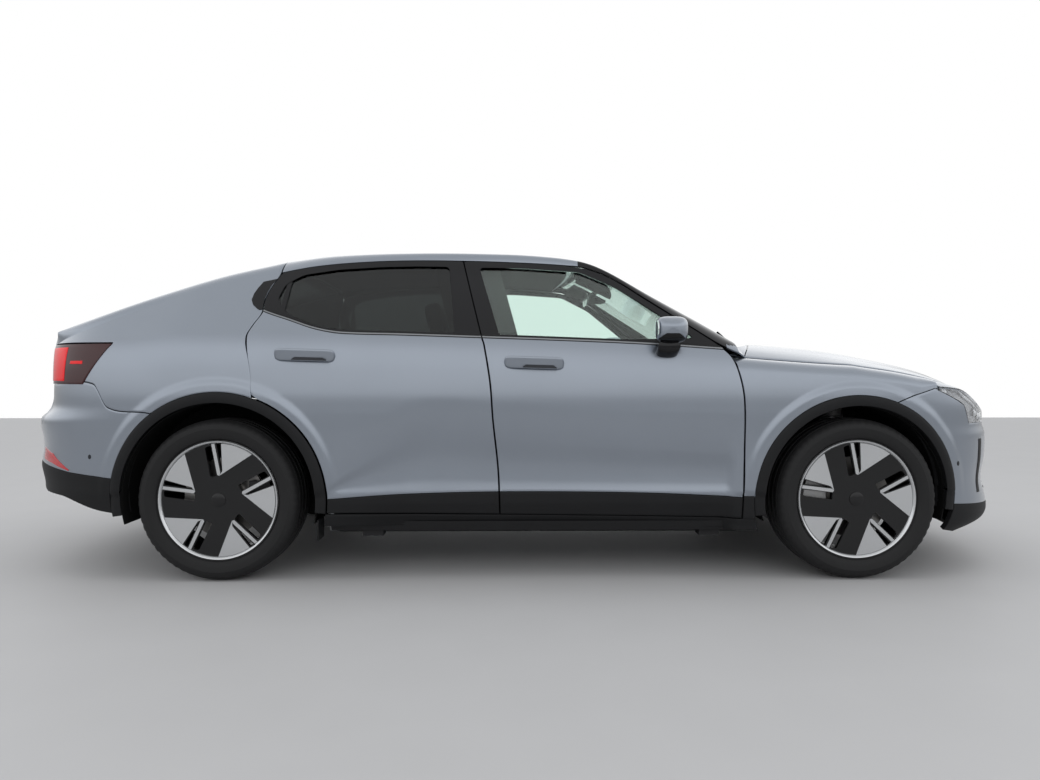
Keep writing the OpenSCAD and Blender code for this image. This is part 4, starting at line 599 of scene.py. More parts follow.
def angle_at(place, x, z):
    """Plan angle at which the nose or the tail reaches a place along the car."""
    low, high = np.full(np.shape(x), 30.0), np.full(np.shape(x), 89.5)
    for _ in range(26):
        t = (low + high) / 2
        beyond = np.abs(place(t, z)[..., 0]) > np.abs(x)
        low, high = np.where(beyond, t, low), np.where(beyond, high, t)
    return t


def wrapped_y(x, z):
    """Half width where the body side wraps into the nose or the tail."""
    x, z = np.broadcast_arrays(x, z)
    y = side_y(x, z)
    for place, way in ((nose, 1), (tail, -1)):
        far = way * x > 1.45
        wrap = place(angle_at(place, x[far], z[far]), z[far])[:, 1]
        y[far] = lerp(y[far], np.minimum(y[far], wrap), fade((np.abs(x[far]) - 1.45) / 0.3))
    return y


def shoulder(x, z0, y1, z1, q):
    y0 = wrapped_y(x, z0)
    lean = 0.9 * (y0 - side_y(x, z0 + ROLL))
    return (1 - q) ** 2 * y0 + 2 * q * (1 - q) * (y0 - lean) + q * q * y1, (1 - q) ** 2 * z0 + (2 * q * (1 - q) + q * q) * z1


def rolled_grid(x, v, low, z0, y1, z1):
    """A body side from its low edge up to z0, then rolled over to an upper edge."""
    flank_z = lerp(low, z0, np.minimum(v / 0.8, 1))
    y, z = shoulder(x, z0, y1, z1, np.clip((v - 0.8) / 0.2, 0, 1))
    low_part = v <= 0.8
    return np.stack([x, np.where(low_part, wrapped_y(x, flank_z), y), np.where(low_part, flank_z, z)], -1)


v = np.concatenate([np.linspace(0, 0.8, 46), np.linspace(0.8, 1, 13)[1:]])[:, None]
u = np.concatenate([np.linspace(0, 0.0475, 5), 0.51 - 0.4625 * np.cos(np.linspace(0, np.pi * 0.92, 86))[1:], np.linspace(0.96, 1, 8)])[None, :]
h = look([(0, 0.246), (0.8, 0.612), (1, 0.6475)], v)
x = lerp(line_x(FRONT_DOOR_LINE, h * HEIGHT) + SHUT_GAP / 2, station(1.4075), np.sort(u))
s = station_of(x)
low = np.maximum(curve(FENDER_LOW, s) * HEIGHT, arch_z(x, FRONT_AXLE, FRONT_TRIM_R + 0.0003))
z1 = curve(HOOD_EDGE, s) * HEIGHT
fender_grid = rolled_grid(x, v, low, np.maximum(z1 - ROLL, lerp(low, z1, 0.3)), curve(HOOD_WIDTH, s) * HALF + SHUT_GAP / 2, z1)
LAMP_TOP, LAMP_FRONT = 0.6895, [(0, -0.585), (0.5685, -0.585), (0.688, -0.462), (0.9, -0.462)]
v = np.concatenate([np.linspace(0, 0.5, 34), np.linspace(0.5, 0.8, 22)[1:], np.linspace(0.8, 1, 13)[1:]])[:, None]
u = np.concatenate([np.linspace(0, 0.3, 36), np.linspace(0.3, 1, 90)[1:]])[None, :]
h = look([(0, 0.45), (0.5, LAMP_TOP), (0.8, 0.91), (1, 0.9455)], v)
pivot = station(look(LAMP_FRONT, h))
x = np.where(u < 0.3, lerp(station(-0.782), pivot, u / 0.3), lerp(pivot, line_x(REAR_DOOR_LINE, h * HEIGHT) - SHUT_GAP / 2, (u - 0.3) / 0.7))
s = station_of(x)
g = np.clip((station(0.074) - x) / (station(0.074) - station(-0.782)), 0, 1)
z1 = curve(GATE_EDGE, g) * HEIGHT
low = np.maximum(curve(QUARTER_LOW, s) * HEIGHT, arch_z(x, REAR_AXLE, REAR_TRIM_R + 0.0003))
level = LAMP_TOP * HEIGHT
z0 = np.maximum(z1 - ROLL, level + 0.001)
flank_z = np.where(v < 0.5, lerp(low, np.maximum(level, low + 0.02), v / 0.5), lerp(np.maximum(level, low + 0.02), z0, np.clip((v - 0.5) / 0.3, 0, 1)))
y, z = shoulder(x, z0, curve(GATE_WIDTH, g) * HALF + SHUT_GAP, z1, np.clip((v - 0.8) / 0.2, 0, 1))
quarter_grid = np.stack([x, np.where(v <= 0.8, wrapped_y(x, flank_z), y), np.where(v <= 0.8, flank_z, z)], -1)
quarter_keep = ~((np.arange(len(v) - 1)[:, None] < 33) & (np.arange(u.size - 1)[None, :] < 35))
for word, side in SIDES:
    piece(f"fender_skin_{word}", [shell(fender_grid, 0.010)], PAINT, "body", side, [f"fender_{word}"])
    piece(f"quarter_skin_{word}", [shell(quarter_grid, 0.012, keep=quarter_keep)], PAINT, "body", side, [f"quarter_{word}"])

# Hood and roof: pressed skins, painted, the hood over a pressed inner frame.
# The hood turns on two hinges at its rear edge; the roof is welded to the side rails.
HOOD_MID = [(0, 0.695), (0.1, 0.687), (0.3, 0.668), (0.5, 0.64), (0.7, 0.606), (0.83, 0.573), (0.92, 0.541), (1, 0.503)]
ROOF_MID = [(0.0833, 0.967), (0.163, 0.9905), (0.295, 1), (0.428, 0.997), (0.507, 0.987), (0.561, 0.972), (0.58, 0.966)]
RAIL_HIGH = [(0.07, 0.947), (0.16, 0.9685), (0.309, 0.978), (0.446, 0.9745), (0.507, 0.968), (0.561, 0.9555), (0.602, 0.931),
             (0.691, 0.8345), (0.763, 0.7555), (0.817, 0.691)]
RAIL_WIDTH = [(0.07, 0.611), (0.16, 0.603), (0.309, 0.603), (0.507, 0.61), (0.561, 0.617), (0.602, 0.632), (0.691, 0.7),
              (0.763, 0.765), (0.817, 0.825)]
RAIL_LOW = DOOR_HIGH + [(0.6208, 0.895), (0.683, 0.815), (0.7795, 0.69), (0.8, 0.668), (0.82, 0.652)]
u, w = np.linspace(0, 1, 90)[:, None], np.linspace(-1, 1, 81)[None, :]
a = np.abs(w)
front = LENGTH / 2 * (1 - (0.64 * a) ** 1.75) ** (1 / 10.5) - 0.05 * HALF
rear = station(lerp(0.895, 0.833, a * a))
s = station_of(lerp(station(0.833), station(1.787), u))
crown = 0.010 * np.exp(-((a - 0.62) / 0.10) ** 2) * np.sin(np.pi * np.clip(u, 0, 1)) ** 0.6
hood_grid = np.stack([lerp(rear, front, u), w * (curve(HOOD_WIDTH, s) * HALF - SHUT_GAP / 2),
                      lerp(curve(HOOD_MID, u) * HEIGHT, curve(HOOD_EDGE, s) * HEIGHT + 0.005, a ** 5) + crown], -1)
corner, back = np.linspace(0.6, 1, 14)[:, None], np.linspace(0, 1, 7)[None, :]
corner_grid = np.stack([station(lerp(0.895, 0.833, corner ** 2)) - 0.005 - 0.058 * back * fade((corner - 0.6) / 0.4),
                        corner * (0.862 * HALF - SHUT_GAP / 2) + 0 * back,
                        lerp(0.695 * HEIGHT, 0.645 * HEIGHT + 0.005, corner ** 5) + 0.012 * back * corner ** 5 - 0.004 * (1 - back)], -1)
for word, side in SIDES:
    piece(f"cowl_corner_{word}", [shell(corner_grid, 0.006, 0.001)], PAINT, "body", side)
piece("hood_skin", [shell(hood_grid, 0.024, 0.003)], PAINT, "hood", 1, ["hood"])
u, w = np.linspace(0, 1, 60)[:, None], np.linspace(-1, 1, 61)[None, :]
a = np.abs(w)
x = lerp(station(0.074 - 0.008 * (1 - a * a)), station(lerp(0.5725, 0.5525, a * a)) - 0.003, u)
s = station_of(x)
roof_grid = np.stack([x, w * (curve(RAIL_WIDTH, s) * HALF - 0.0003), lerp(curve(ROOF_MID, s), curve(RAIL_HIGH, s), a ** 2.4) * HEIGHT], -1)
piece("roof_skin", [shell(roof_grid, 0.028)], PAINT, "body", 1, ["roof"])

# Side rails and sills: the painted roof rail and windscreen pillar over each pair of doors,
# and the grained plastic cover under them, clipped to the welded body side.
v, s = np.linspace(0, 1, 13)[:, None], np.linspace(0.0782, 0.8145, 130)[None, :]
z0 = curve(RAIL_LOW, s) * HEIGHT + SHUT_GAP * fade((s - 0.55) / 0.03)
z1 = curve(RAIL_HIGH, s) * HEIGHT
x = station(s) + 0 * v
y0, y1 = side_y(x[:1], z0), curve(RAIL_WIDTH, s) * HALF
swell = 0.0095 * 4 * v * (1 - v) / np.hypot(y1 - y0, z1 - z0)
rail_grid = np.stack([x, lerp(y0, y1, v) + swell * (z1 - z0), lerp(z0, z1, v) + swell * (y0 - y1)], -1)
toe_end = np.concatenate([0.985 + 0 * v, lerp(0.800, 0.70, v), lerp(0.953, 0.968, v)], 1)
toe_grid = lerp(rail_grid[:, -1][:, None], toe_end[:, None], np.linspace(0.01, 1, 10)[None, :, None])
sill_grid = flank_grid(lambda z: arch_x(z, REAR_AXLE, REAR_TRIM_R + 0.0003, 1), lambda z: arch_x(z, FRONT_AXLE, FRONT_TRIM_R + 0.0003, -1),
                       lambda x: lerp(0.235, 0.212, (x + 0.905) / 1.938), lambda x: door_low(x) - SHUT_GAP, 70, 10)
pillar_grid = rail_grid[:, 86:]
pillar_high = pillar_grid[:-1, :-1, 2] > 1.006
foot_grid = flank_grid(lambda z: line_x(FRONT_DOOR_LINE, z) + SHUT_GAP / 2, lambda z: arch_x(z, FRONT_AXLE, FRONT_TRIM_R + 0.0003, -1),
                       lambda x: door_low(x) - SHUT_GAP, lambda x: 0.362 + 0 * x, 10, 16)
for word, side in SIDES:
    piece(f"roof_rail_{word}", [shell(rail_grid[:, :87], 0.008, 0.001, 0.0015)], PAINT, "body", side)
    piece(f"pillar_cover_{word}", [shell(pillar_grid, 0.008, 0.001, 0.0015, keep=pillar_high)], GLOSS_BLACK, "body", side)
    piece(f"pillar_foot_{word}", [shell(pillar_grid, 0.008, 0.001, 0.0015, keep=~pillar_high), shell(toe_grid, 0.006, 0.001, 0.0015)], PAINT,
          "body", side)
    piece(f"fender_foot_{word}", [shell(foot_grid, 0.008, proud=0.003)], GRAINED, "body", side)
    piece(f"sill_cover_{word}", [shell(sill_grid, 0.008, proud=0.002)], GRAINED, "body", side)
    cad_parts[f"body_side_{word}"].data.materials.clear()
    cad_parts[f"body_side_{word}"].data.materials.append(INNER_TRIM)

# Windscreen: laminated curved glass with a printed black border, bonded to the pillars and the roof.
def screen(u, w, depth):
    a = w * w
    s = lerp(0.5525, 0.812, u)
    x_mid, z_mid = station(lerp(0.5725, 0.885, u)), HEIGHT * (lerp(0.9655, 0.652, u) + 0.048 * u * (1 - u))
    p = np.stack([lerp(x_mid, station(s), a), w * (curve(RAIL_WIDTH, s) * HALF - 0.0012), lerp(z_mid, curve(RAIL_HIGH, s) * HEIGHT, a)], -1)
    return p - np.asarray(depth)[..., None] * np.array([0.5, 0, 0.85])


u, w = np.linspace(0.002, 0.998, 50)[:, None], np.linspace(-1, 1, 61)[None, :]
piece("windscreen_pane", [shell(screen(u + 0 * w, w + 0 * u, 0.0 * u * w), 0.005, 0.001)], CLEAR_GLASS, "body", 1, ["windscreen"])


def on_screen(p, depth):
    return screen(p[:, 0], p[:, 1], 0.0052 + depth + 0 * p[:, 0])


edge = rounded([(0.005, -0.995), (0.995, -0.995), (0.995, 0.995), (0.005, 0.995)], 0.02, 0.02)
sight = rounded([(0.05, -0.94), (0.88, -0.94), (0.90, 0), (0.88, 0.94), (0.05, 0.94), (0.045, 0)], 0.08, 0.02)
piece("windscreen_border", [plate([edge, sight], on_screen, 0.0008)], GLOSS_BLACK, "body")

# Front bumper: painted moulded cover, with a grained dark lip and intakes below,
# upright slits at the corners and a blank plate. Clipped to the fenders and the front frame.
NOSE_LOW = [(0, 0.105), (60, 0.115), (75, 0.14), (82, 0.145)]
NOSE_HIGH = [(0, 0.476), (34, 0.462), (50, 0.451), (64.5, 0.451), (66.5, 0.505), (75.2, 0.553), (82.2, 0.503)]
TAIL_LOW = [(0, 0.232), (55, 0.24), (70, 0.2), (82, 0.18)]
TAIL_HIGH = [(0, 0.515), (40.5, 0.515), (43, 0.567), (67, 0.567), (72, 0.493), (79.5, 0.476)]


def bumper_grid(place, low, high, columns, rows, axle, r, limit):
    """Rows round a bumper from low(t, x) to high(t, x), ending at the wheel arch."""
    v = np.linspace(0, 1, rows)[:, None]
    z = np.full((rows, len(columns)), 0.5)
    for _ in range(12):
        edge = np.abs(arch_x(z, axle, r, 1 if axle > 0 else -1))
        edge = np.where(np.abs(z - HUB_Z) >= r, np.abs(axle), edge)
        most = np.minimum(angle_at(place, edge[:, -1:], z[:, -1:]), limit)
        t = np.where(np.abs(columns) <= 55, columns, np.sign(columns) * (55 + (np.abs(columns) - 55) / (limit - 55) * (most - 55)))
        x = place(t, z)[..., 0]
        z = lerp(z, lerp(low(np.abs(t), x), high(np.abs(t), x), v), 0.7)
    return place(t, z)


half = np.concatenate([np.linspace(0, 55, 40), np.linspace(55, 82, 70)[1:]])
round_nose = np.concatenate([-half[:0:-1], half])


def lip_line(t, x):
    return look([(1.7, 0.325), (1.841, 0.320), (2.182, 0.297), (2.3, 0.292)], np.abs(x))


def nose_top(t, x):
    return np.where(x < station(1.4), curve(FENDER_LOW, station_of(x)) * HEIGHT - 0.003, look(NOSE_HIGH, t) * HEIGHT)


paint_part = bumper_grid(nose, lip_line, nose_top, round_nose, 40, FRONT_AXLE, FRONT_TRIM_R + 0.0003, 82)
lip_part = bumper_grid(nose, lambda t, x: curve(NOSE_LOW, t) * HEIGHT, lambda t, x: lip_line(t, x) - 0.001, round_nose, 16,
                       FRONT_AXLE, FRONT_TRIM_R + 0.0003, 82)
piece("front_bumper_skin", [shell(paint_part, 0.02, 0.0015)], PAINT, "body", 1, ["front_bumper"])
t, q = np.linspace(-44.7, 44.7, 71)[None, :], np.linspace(0, 1, 8)[:, None]
low_edge = nose(t, look(NOSE_HIGH, np.abs(t)) * HEIGHT)[0]
w = low_edge[:, 1] / (0.64 * HALF)
a = np.minimum(np.abs(w), 1)
hood_lip = np.stack([LENGTH / 2 * (1 - (0.64 * a) ** 1.75) ** (1 / 10.5) - 0.05 * HALF, low_edge[:, 1],
                     lerp(0.503 * HEIGHT, 0.495 * HEIGHT, a ** 5) - 0.004], -1)
strip = lerp(low_edge[None] - [0.002, 0, -0.001], hood_lip[None], q[..., None])
piece("bumper_top_strip", [shell(strip, 0.006, 0.001)], PAINT, "body")
piece("front_bumper_lip", [shell(lip_part, 0.02, 0.0015)], GRAINED, "body")


def end_patch(place, t0, t1, z0, z1, columns=24, rows=10):
    t, z = np.meshgrid(np.linspace(t0, t1, columns), np.linspace(z0, z1, rows))
    return place(t, z)


INTAKE_BLACK_WITH_SHADE = finish("intake_black_with_shade", (0.004, 0.004, 0.004), 0.6, scale=300, spread=0.2, relief=0.3)
PLATE_WHITE = finish("blank_plate", (0.72, 0.72, 0.70), 0.4, scale=400, spread=0.03, relief=0.05)
# The intakes and corner slits are flat sheets laid on the cover: their black is partly the plastic and partly painted
# shade standing for the openings' depth.
intake = [shell(end_patch(nose, -40, 40, 0.325, 0.425, 60, 12), 0.004, 0.001, 0.002)]
intake += [shell(end_patch(nose, k * 56.6, k * 58.8, 0.355, 0.596, 5, 24), 0.004, 0.001, 0.002) for k in (1, -1)]
piece("front_intakes", intake, INTAKE_BLACK_WITH_SHADE, "body")
slats = [shell(end_patch(nose, -39, 39, z, z + 0.010, 60, 4), 0.006, 0.001, 0.007) for z in (0.343, 0.369, 0.395)]
piece("intake_slats", slats, GRAINED, "body")


def flat_block(x0, x1, width, z0, z1, lean=0.0):
    ring = rounded([(-width / 2, z0), (width / 2, z0), (width / 2, z1), (-width / 2, z1)], 0.01)
    return plate([ring], lambda p, d: np.stack([lerp(x0, x1, 0) + (x1 - x0) * (d / abs(x1 - x0)) + lean * (p[:, 1] - z0), p[:, 0], p[:, 1]], -1), abs(x1 - x0))


nose_x = float(nose(np.array([0.0]), np.array([0.5]))[0, 0])
piece("front_plate", [flat_block(nose_x + 0.006, nose_x - 0.03, 0.52, 0.475, 0.585)], PLATE_WHITE, "body")

# Rear bumper: painted moulded cover over a grained dark lower part with red reflectors.
# Clipped to the quarters and the tail panel.
half = np.concatenate([np.linspace(0, 55, 40), np.linspace(55, 80, 70)[1:]])
round_tail = np.concatenate([-half[:0:-1], half])


def dark_line(t, x):
    return look([(1.6, 0.43), (1.709, 0.435), (1.965, 0.460), (2.167, 0.493), (2.3, 0.505)], np.abs(x))


def tail_top(t, x):
    return np.where(t > 43, curve(QUARTER_LOW, station_of(x)) * HEIGHT - 0.003, look(TAIL_HIGH, t) * HEIGHT)


paint_part = bumper_grid(tail, dark_line, tail_top, round_tail, 34, REAR_AXLE, REAR_TRIM_R + 0.0003, 80)
dark_part = bumper_grid(tail, lambda t, x: curve(TAIL_LOW, t) * HEIGHT, lambda t, x: dark_line(t, x) - 0.001, round_tail, 18,
                        REAR_AXLE, REAR_TRIM_R + 0.0003, 80)
piece("rear_bumper_skin", [shell(paint_part, 0.02, 0.0015)], PAINT, "body", 1, ["rear_bumper"])
piece("rear_bumper_lower", [shell(dark_part, 0.02, 0.0015)], GRAINED, "body")
RED_LENS = finish("red_reflector", (0.45, 0.012, 0.014), 0.15, scale=400, spread=0.2, relief=0.3, coat_weight=1.0)
t, q = np.linspace(44, 60.5, 40)[None, :], np.linspace(0, 1, 8)[:, None]
z = look([(44, 0.508), (52, 0.494), (60.5, 0.466)], t) + q * look([(44, 0.050), (52, 0.042), (60.5, 0.006)], t)
reflector = tail(t + 0 * z, z)
for word, side in SIDES:
    piece(f"rear_reflector_{word}", [shell(reflector, 0.006, 0.001, 0.003)], RED_LENS, "body", side)

# Parking sensors: small round moulded caps, pushed through holes in the bumpers' sides.
def sensor(place, t0, z0):
    ring = oval(1, 1, 2, 20)
    rows = [np.stack([t0 + 0.45 * r * ring[:, 0], z0 + 0.011 * r * ring[:, 1]], -1) for r in (1.0, 0.9, 0.5, 0.1)]
    faces = np.array([place(row[:, 0], row[:, 1]) for row in rows])
    return loft(faces + outward(faces) * np.array([-0.004, 0.001, 0.0015, 0.0015])[:, None, None])


# The sensor caps take the darker copy of the body paint: painted shade.
for word, side in SIDES:
    piece(f"front_sensor_{word}", [sensor(nose, 69.3, 0.495)], PAINTED_SHADE_BLUE_GREY, "body", side)
    piece(f"rear_sensor_{word}", [sensor(tail, 67.6, 0.53)], PAINTED_SHADE_BLUE_GREY, "body", side)

# Wheel arch trims: grained plastic bands round each opening, clipped to the panels' edges.
ANGLE = np.radians(np.linspace(-7, 189, 120))[None, :]
for end, axle, r1 in (("front", FRONT_AXLE, FRONT_TRIM_R), ("rear", REAR_AXLE, REAR_TRIM_R)):
    q = np.linspace(0, 1, 9)[:, None]
    r = lerp(r1 - TRIM_W - 0.006, r1, q)
    px, pz = axle + r * np.cos(ANGLE), HUB_Z + r * np.sin(ANGLE)
    y = side_y(px, np.maximum(pz, 0.25)) + 0.001 + 0.006 * np.sin(np.pi * np.clip(q * 0.9 + 0.1, 0, 1)) ** 0.6
    trim_grid = np.stack([px, y, pz], -1)
    for word, side in SIDES:
        piece(f"{end}_arch_trim_{word}", [shell(trim_grid, 0.085, 0.001)], GRAINED, "body", side,
              ["arch_trims"] if (end, word) == ("front", "left") else ())

# Tailgate: a painted lid with a gloss black frame round its bonded, tinted window and a blank plate below.
# It turns on two hinges at the roof's rear edge.
GATE_MID = [(0, 0.964), (0.22, 0.9176), (0.476, 0.855), (0.73, 0.784), (0.86, 0.7595), (0.95, 0.7486), (1, 0.743)]
GATE_WINDOW = [(0.05, 0.9), (0.3, 0.92), (0.55, 0.93), (0.66, 0.9), (0.69, 0.6), (0.69, 0)]


def gate_top(a, w):
    wide = np.abs(w)
    lip = -LENGTH / 2 * (1 - (0.748 * wide) ** 3) ** (1 / 9) + HALF * float(curve(TAIL, 0.74))
    start = station(0.074 - 0.008 * (1 - w * w)) - SHUT_GAP
    return np.stack([lerp(start, lip, a), w * (curve(GATE_WIDTH, a) * HALF - SHUT_GAP / 2),
                     lerp(curve(GATE_MID, a), curve(GATE_EDGE, a), wide ** 2.6) * HEIGHT], -1)


def gate_back(b, w):
    share = np.abs(w) * lerp(0.705, 0.7, b)
    z = lerp(gate_top(1 + 0 * w, w)[..., 2], 0.528 * HEIGHT, b)
    x = -LENGTH / 2 * (1 - share ** 3) ** (1 / 9) + HALF * curve(TAIL, z / HEIGHT)
    return np.stack([x, np.sign(w) * share * HALF, z], -1)


def on_gate(p, depth):
    return gate_top(p[:, 0], p[:, 1]) - np.array([0, 0, 1]) * depth


gate_frame = rounded([(0.0, -1), (0.78, -1), (0.78, 1), (0.0, 1)], 0.004, 0.02)
gate_sight = rounded(GATE_WINDOW[:-1] + [(a, -w) for a, w in GATE_WINDOW[-2::-1]], 0.05, 0.02)
piece("tailgate_frame", [plate([gate_frame, gate_sight], on_gate, 0.03, step=(0.03, 0.06))], GLOSS_BLACK, "tailgate", 1, ["tailgate"])
piece("tailgate_pane", [plate([gate_sight], lambda p, d: on_gate(p, d + 0.002), 0.005, step=(0.03, 0.05))], TINTED_GLASS, "tailgate",
      1, ["tailgate_glass"])
a, b, w = np.linspace(0.7815, 1, 16)[:, None], np.linspace(0, 1, 26)[1:, None], np.linspace(-1, 1, 61)[None, :]
lid = np.concatenate([gate_top(a + 0 * w, w + 0 * a), gate_back(b + 0 * w, w + 0 * b)])
piece("tailgate_lid", [shell(lid, 0.03, 0.002)], PAINT, "tailgate")
rise = quarter_grid[33:, 0]
share = np.clip((0.725 * HEIGHT - rise[:, 2]) / (0.197 * HEIGHT), 0, 1)
inner_edge = gate_back(share, 1 + 0 * share) + [0, 0.006, 0]
inner_edge[:, 2] = rise[:, 2] - 0.002
lid_corner = lerp(rise[:, None], inner_edge[:, None], np.linspace(0.01, 1, 8)[None, :, None])
for word, side in SIDES:
    piece(f"quarter_corner_{word}", [shell(lid_corner, 0.006, 0.001)], PAINT, "body", side)
gate_x = float(gate_back(np.array([0.6]), np.array([0.0]))[0, 0])
piece("rear_plate", [flat_block(gate_x - 0.012, gate_x + 0.02, 0.52, 0.80, 0.91)], PLATE_WHITE, "tailgate")

# Tail lamps: dark smoked lenses with bright red light bars behind, let into the quarters.
# Moulded in one with their housings and bolted from inside the boot.
def tail_lamp(v, k):
    low, high = lerp(41, 65.2, k), lerp(41, 71.8, k)
    return tail(lerp(low, high, v), lerp(0.567 * HEIGHT + 0.0003, 0.685 * HEIGHT, v))


v, k = np.linspace(0, 1, 24)[:, None], np.linspace(0, 1, 40)[None, :]
SMOKED_RED = finish("smoked_red_lens", (0.035, 0.003, 0.004), 0.1, scale=300, spread=0.2, relief=0.1)
RED_LIGHT = finish("bright_red_lens", (0.80, 0.006, 0.010), 0.12, scale=300, spread=0.15, relief=0.2, specular_ior_level=0.3)
bars = [(0.08, 0.92, 42.0, 57.0), (0.5, 0.58, 59.5, 64.5)]
lights = []
for v0, v1, t0, t1 in bars:
    p, q = np.linspace(v0, v1, 16)[:, None], np.linspace(t0, t1, 16)[None, :]
    lights.append(shell(tail(q + 0 * p, lerp(0.567, 0.685, p + 0 * q) * HEIGHT), 0.005, 0.0015, 0.005))
for word, side in SIDES:
    piece(f"tail_lens_{word}", [shell(tail_lamp(v, k + 0 * v), 0.02, 0.002, 0.003)], SMOKED_RED, "body", side,
          ["tail_lamps"] if word == "left" else ())
    piece(f"tail_light_bars_{word}", lights, RED_LIGHT, "body", side)

# Headlamps: clear moulded lenses over black housings with two lens units and a white light line.
# A painted strip closes the gap to the hood's edge above each.
HEAD_HIGH = [(38, 0.476), (48, 0.482), (56, 0.502), (62, 0.532), (67, 0.552), (75.2, 0.562)]
t, v = np.concatenate([np.linspace(45, 64, 30), np.linspace(64, 67, 16)[1:], np.linspace(67, 74.4, 16)[1:]])[None, :], np.linspace(0, 1, 22)[:, None]
head_low, head_high = look(NOSE_HIGH, t) * HEIGHT + 0.001, curve(HEAD_HIGH, t) * HEIGHT
lens_grid = nose(t + 0 * v, lerp(head_low, head_high, v))
s = lerp(1.787, 1.4, (t - 45) / 29.4)
top = np.stack([station(s) + SHUT_GAP, curve(HOOD_WIDTH, s) * HALF + SHUT_GAP, curve(HOOD_EDGE, s) * HEIGHT], -1)
q = np.linspace(0, 1, 8)[:, None, None]
strip_grid = lerp(lens_grid[-1:], top, q) + np.array([0, 0, 0.004]) * np.sin(np.pi * q)
LAMP_LENS = pane_glass("clear_lamp_lens", (0.96, 0.97, 0.98))
LAMP_WHITE = finish("white_light_line", (0.85, 0.87, 0.9), 0.3, scale=300, spread=0.03, relief=0.1)
SATIN_SILVER = finish("satin_silver_plastic", (0.42, 0.43, 0.45), 0.4, metal=0.3, scale=300, spread=0.08, relief=0.05)
CHROMED = finish("chromed_plastic", (0.55, 0.56, 0.58), 0.12, metal=1.0, scale=100, spread=0.04, relief=0.02)
inside_n = outward(lens_grid)
cave = lens_grid - inside_n * 0.022


def lamp_patch(v0, v1, t0, t1, depth, rows=8, columns=24):
    tt, vv = np.linspace(t0, t1, columns)[None, :], np.linspace(v0, v1, rows)[:, None]
    low, high = look(NOSE_HIGH, tt) * HEIGHT + 0.001, curve(HEAD_HIGH, tt) * HEIGHT
    grid = nose(tt + 0 * vv, lerp(low, high, vv))
    return grid - outward(grid) * depth


def lens_ball(t0, share, r):
    middle = lamp_patch(share, share + 0.01, t0, t0 + 0.5, 0.026, 3, 3)[0, 0]
    rings = [[middle + np.array([0.02 * np.cos(e), 0.9 * r * np.sin(e) * math.cos(a), r * np.sin(e) * math.sin(a)])
              for a in np.linspace(0, 2 * np.pi, 25)[:-1]] for e in np.linspace(0.05, np.pi / 2, 8)]
    return loft(rings)


light_line = [shell(lamp_patch(0.84, 0.93, 47, 73.5, 0.012), 0.006, 0.001), shell(lamp_patch(0.1, 0.9, 71.8, 73.2, 0.012, 14, 6), 0.006, 0.001)]
units = [lens_ball(t0, share, 0.021) for t0, share in ((52.5, 0.45), (58.0, 0.48))]
for word, side in SIDES:
    piece(f"headlamp_lens_{word}", [shell(lens_grid, 0.004, 0.0012, 0.001)], LAMP_LENS, "body", side, ["headlamps"] if word == "left" else ())
    piece(f"headlamp_housing_{word}", [shell(cave, 0.012, 0.001)], SATIN_SILVER, "body", side)
    piece(f"headlamp_light_line_{word}", light_line, LAMP_WHITE, "body", side)
    piece(f"headlamp_units_{word}", units, CHROMED, "body", side)
    piece(f"headlamp_strip_{word}", [shell(strip_grid, 0.01, 0.001)], PAINT, "body", side)

# Wheels: cast alloy, black with machined silver faces, five sectors each with an open slot, on a plain black hub cap.
# Each carries its brake disc and is bolted to the hub.
RIM_R, WHEEL_Y, FACE = 0.252, 0.8, 0.097
BLACK_ALLOY = finish("black_alloy", (0.006, 0.006, 0.0065), 0.22, scale=400, spread=0.1, relief=0.05, specular_ior_level=0.4)
MACHINED = finish("machined_alloy", (0.60, 0.61, 0.62), 0.26, metal=1.0, scale=350, spread=0.08, relief=0.1, bump=0.00005, coat_weight=0.5)
DISC_IRON = finish("brake_disc_iron", (0.32, 0.31, 0.30), 0.35, metal=1.0, scale=250, spread=0.12, relief=0.1)


def polar(rows, k=0, r=RIM_R):
    """Points from shares of the rim's radius and degrees clockwise from the top, seen from outside."""
    angle = np.radians([a + 72 * k for _, a in rows])
    share = np.array([q for q, _ in rows])
    return np.stack([-r * share * np.sin(angle), r * share * np.cos(angle)], -1)


def in_wheel(y):
    return lambda p, depth: np.stack([p[:, 0], y - depth + 0 * p[:, 0], p[:, 1]], -1)


def lathe(profile, count):
    """A ring turned round the wheel's axle from rows of radius and place along it."""
    rows = np.asarray(profile, float)
    angle = np.arange(count) * 2 * np.pi / count
    grid = np.stack([rows[:, 0][:, None] * np.cos(angle), rows[:, 1][:, None] + 0 * angle, rows[:, 0][:, None] * np.sin(angle)], -1)
    k = len(rows)
    faces = [(i * count + j, i * count + (j + 1) % count, (i + 1) % k * count + (j + 1) % count, (i + 1) % k * count + j)
             for i in range(k) for j in range(count)]
    r, y = rows[:, 0], rows[:, 1]
    area = np.sum(r * np.roll(y, -1) - np.roll(r, -1) * y)
    return grid.reshape(-1, 3), (faces if area < 0 else [f[::-1] for f in faces])


def circle(r, count=120):
    return np.stack([r * np.cos(np.arange(count) * 2 * np.pi / count), r * np.sin(np.arange(count) * 2 * np.pi / count)], -1)


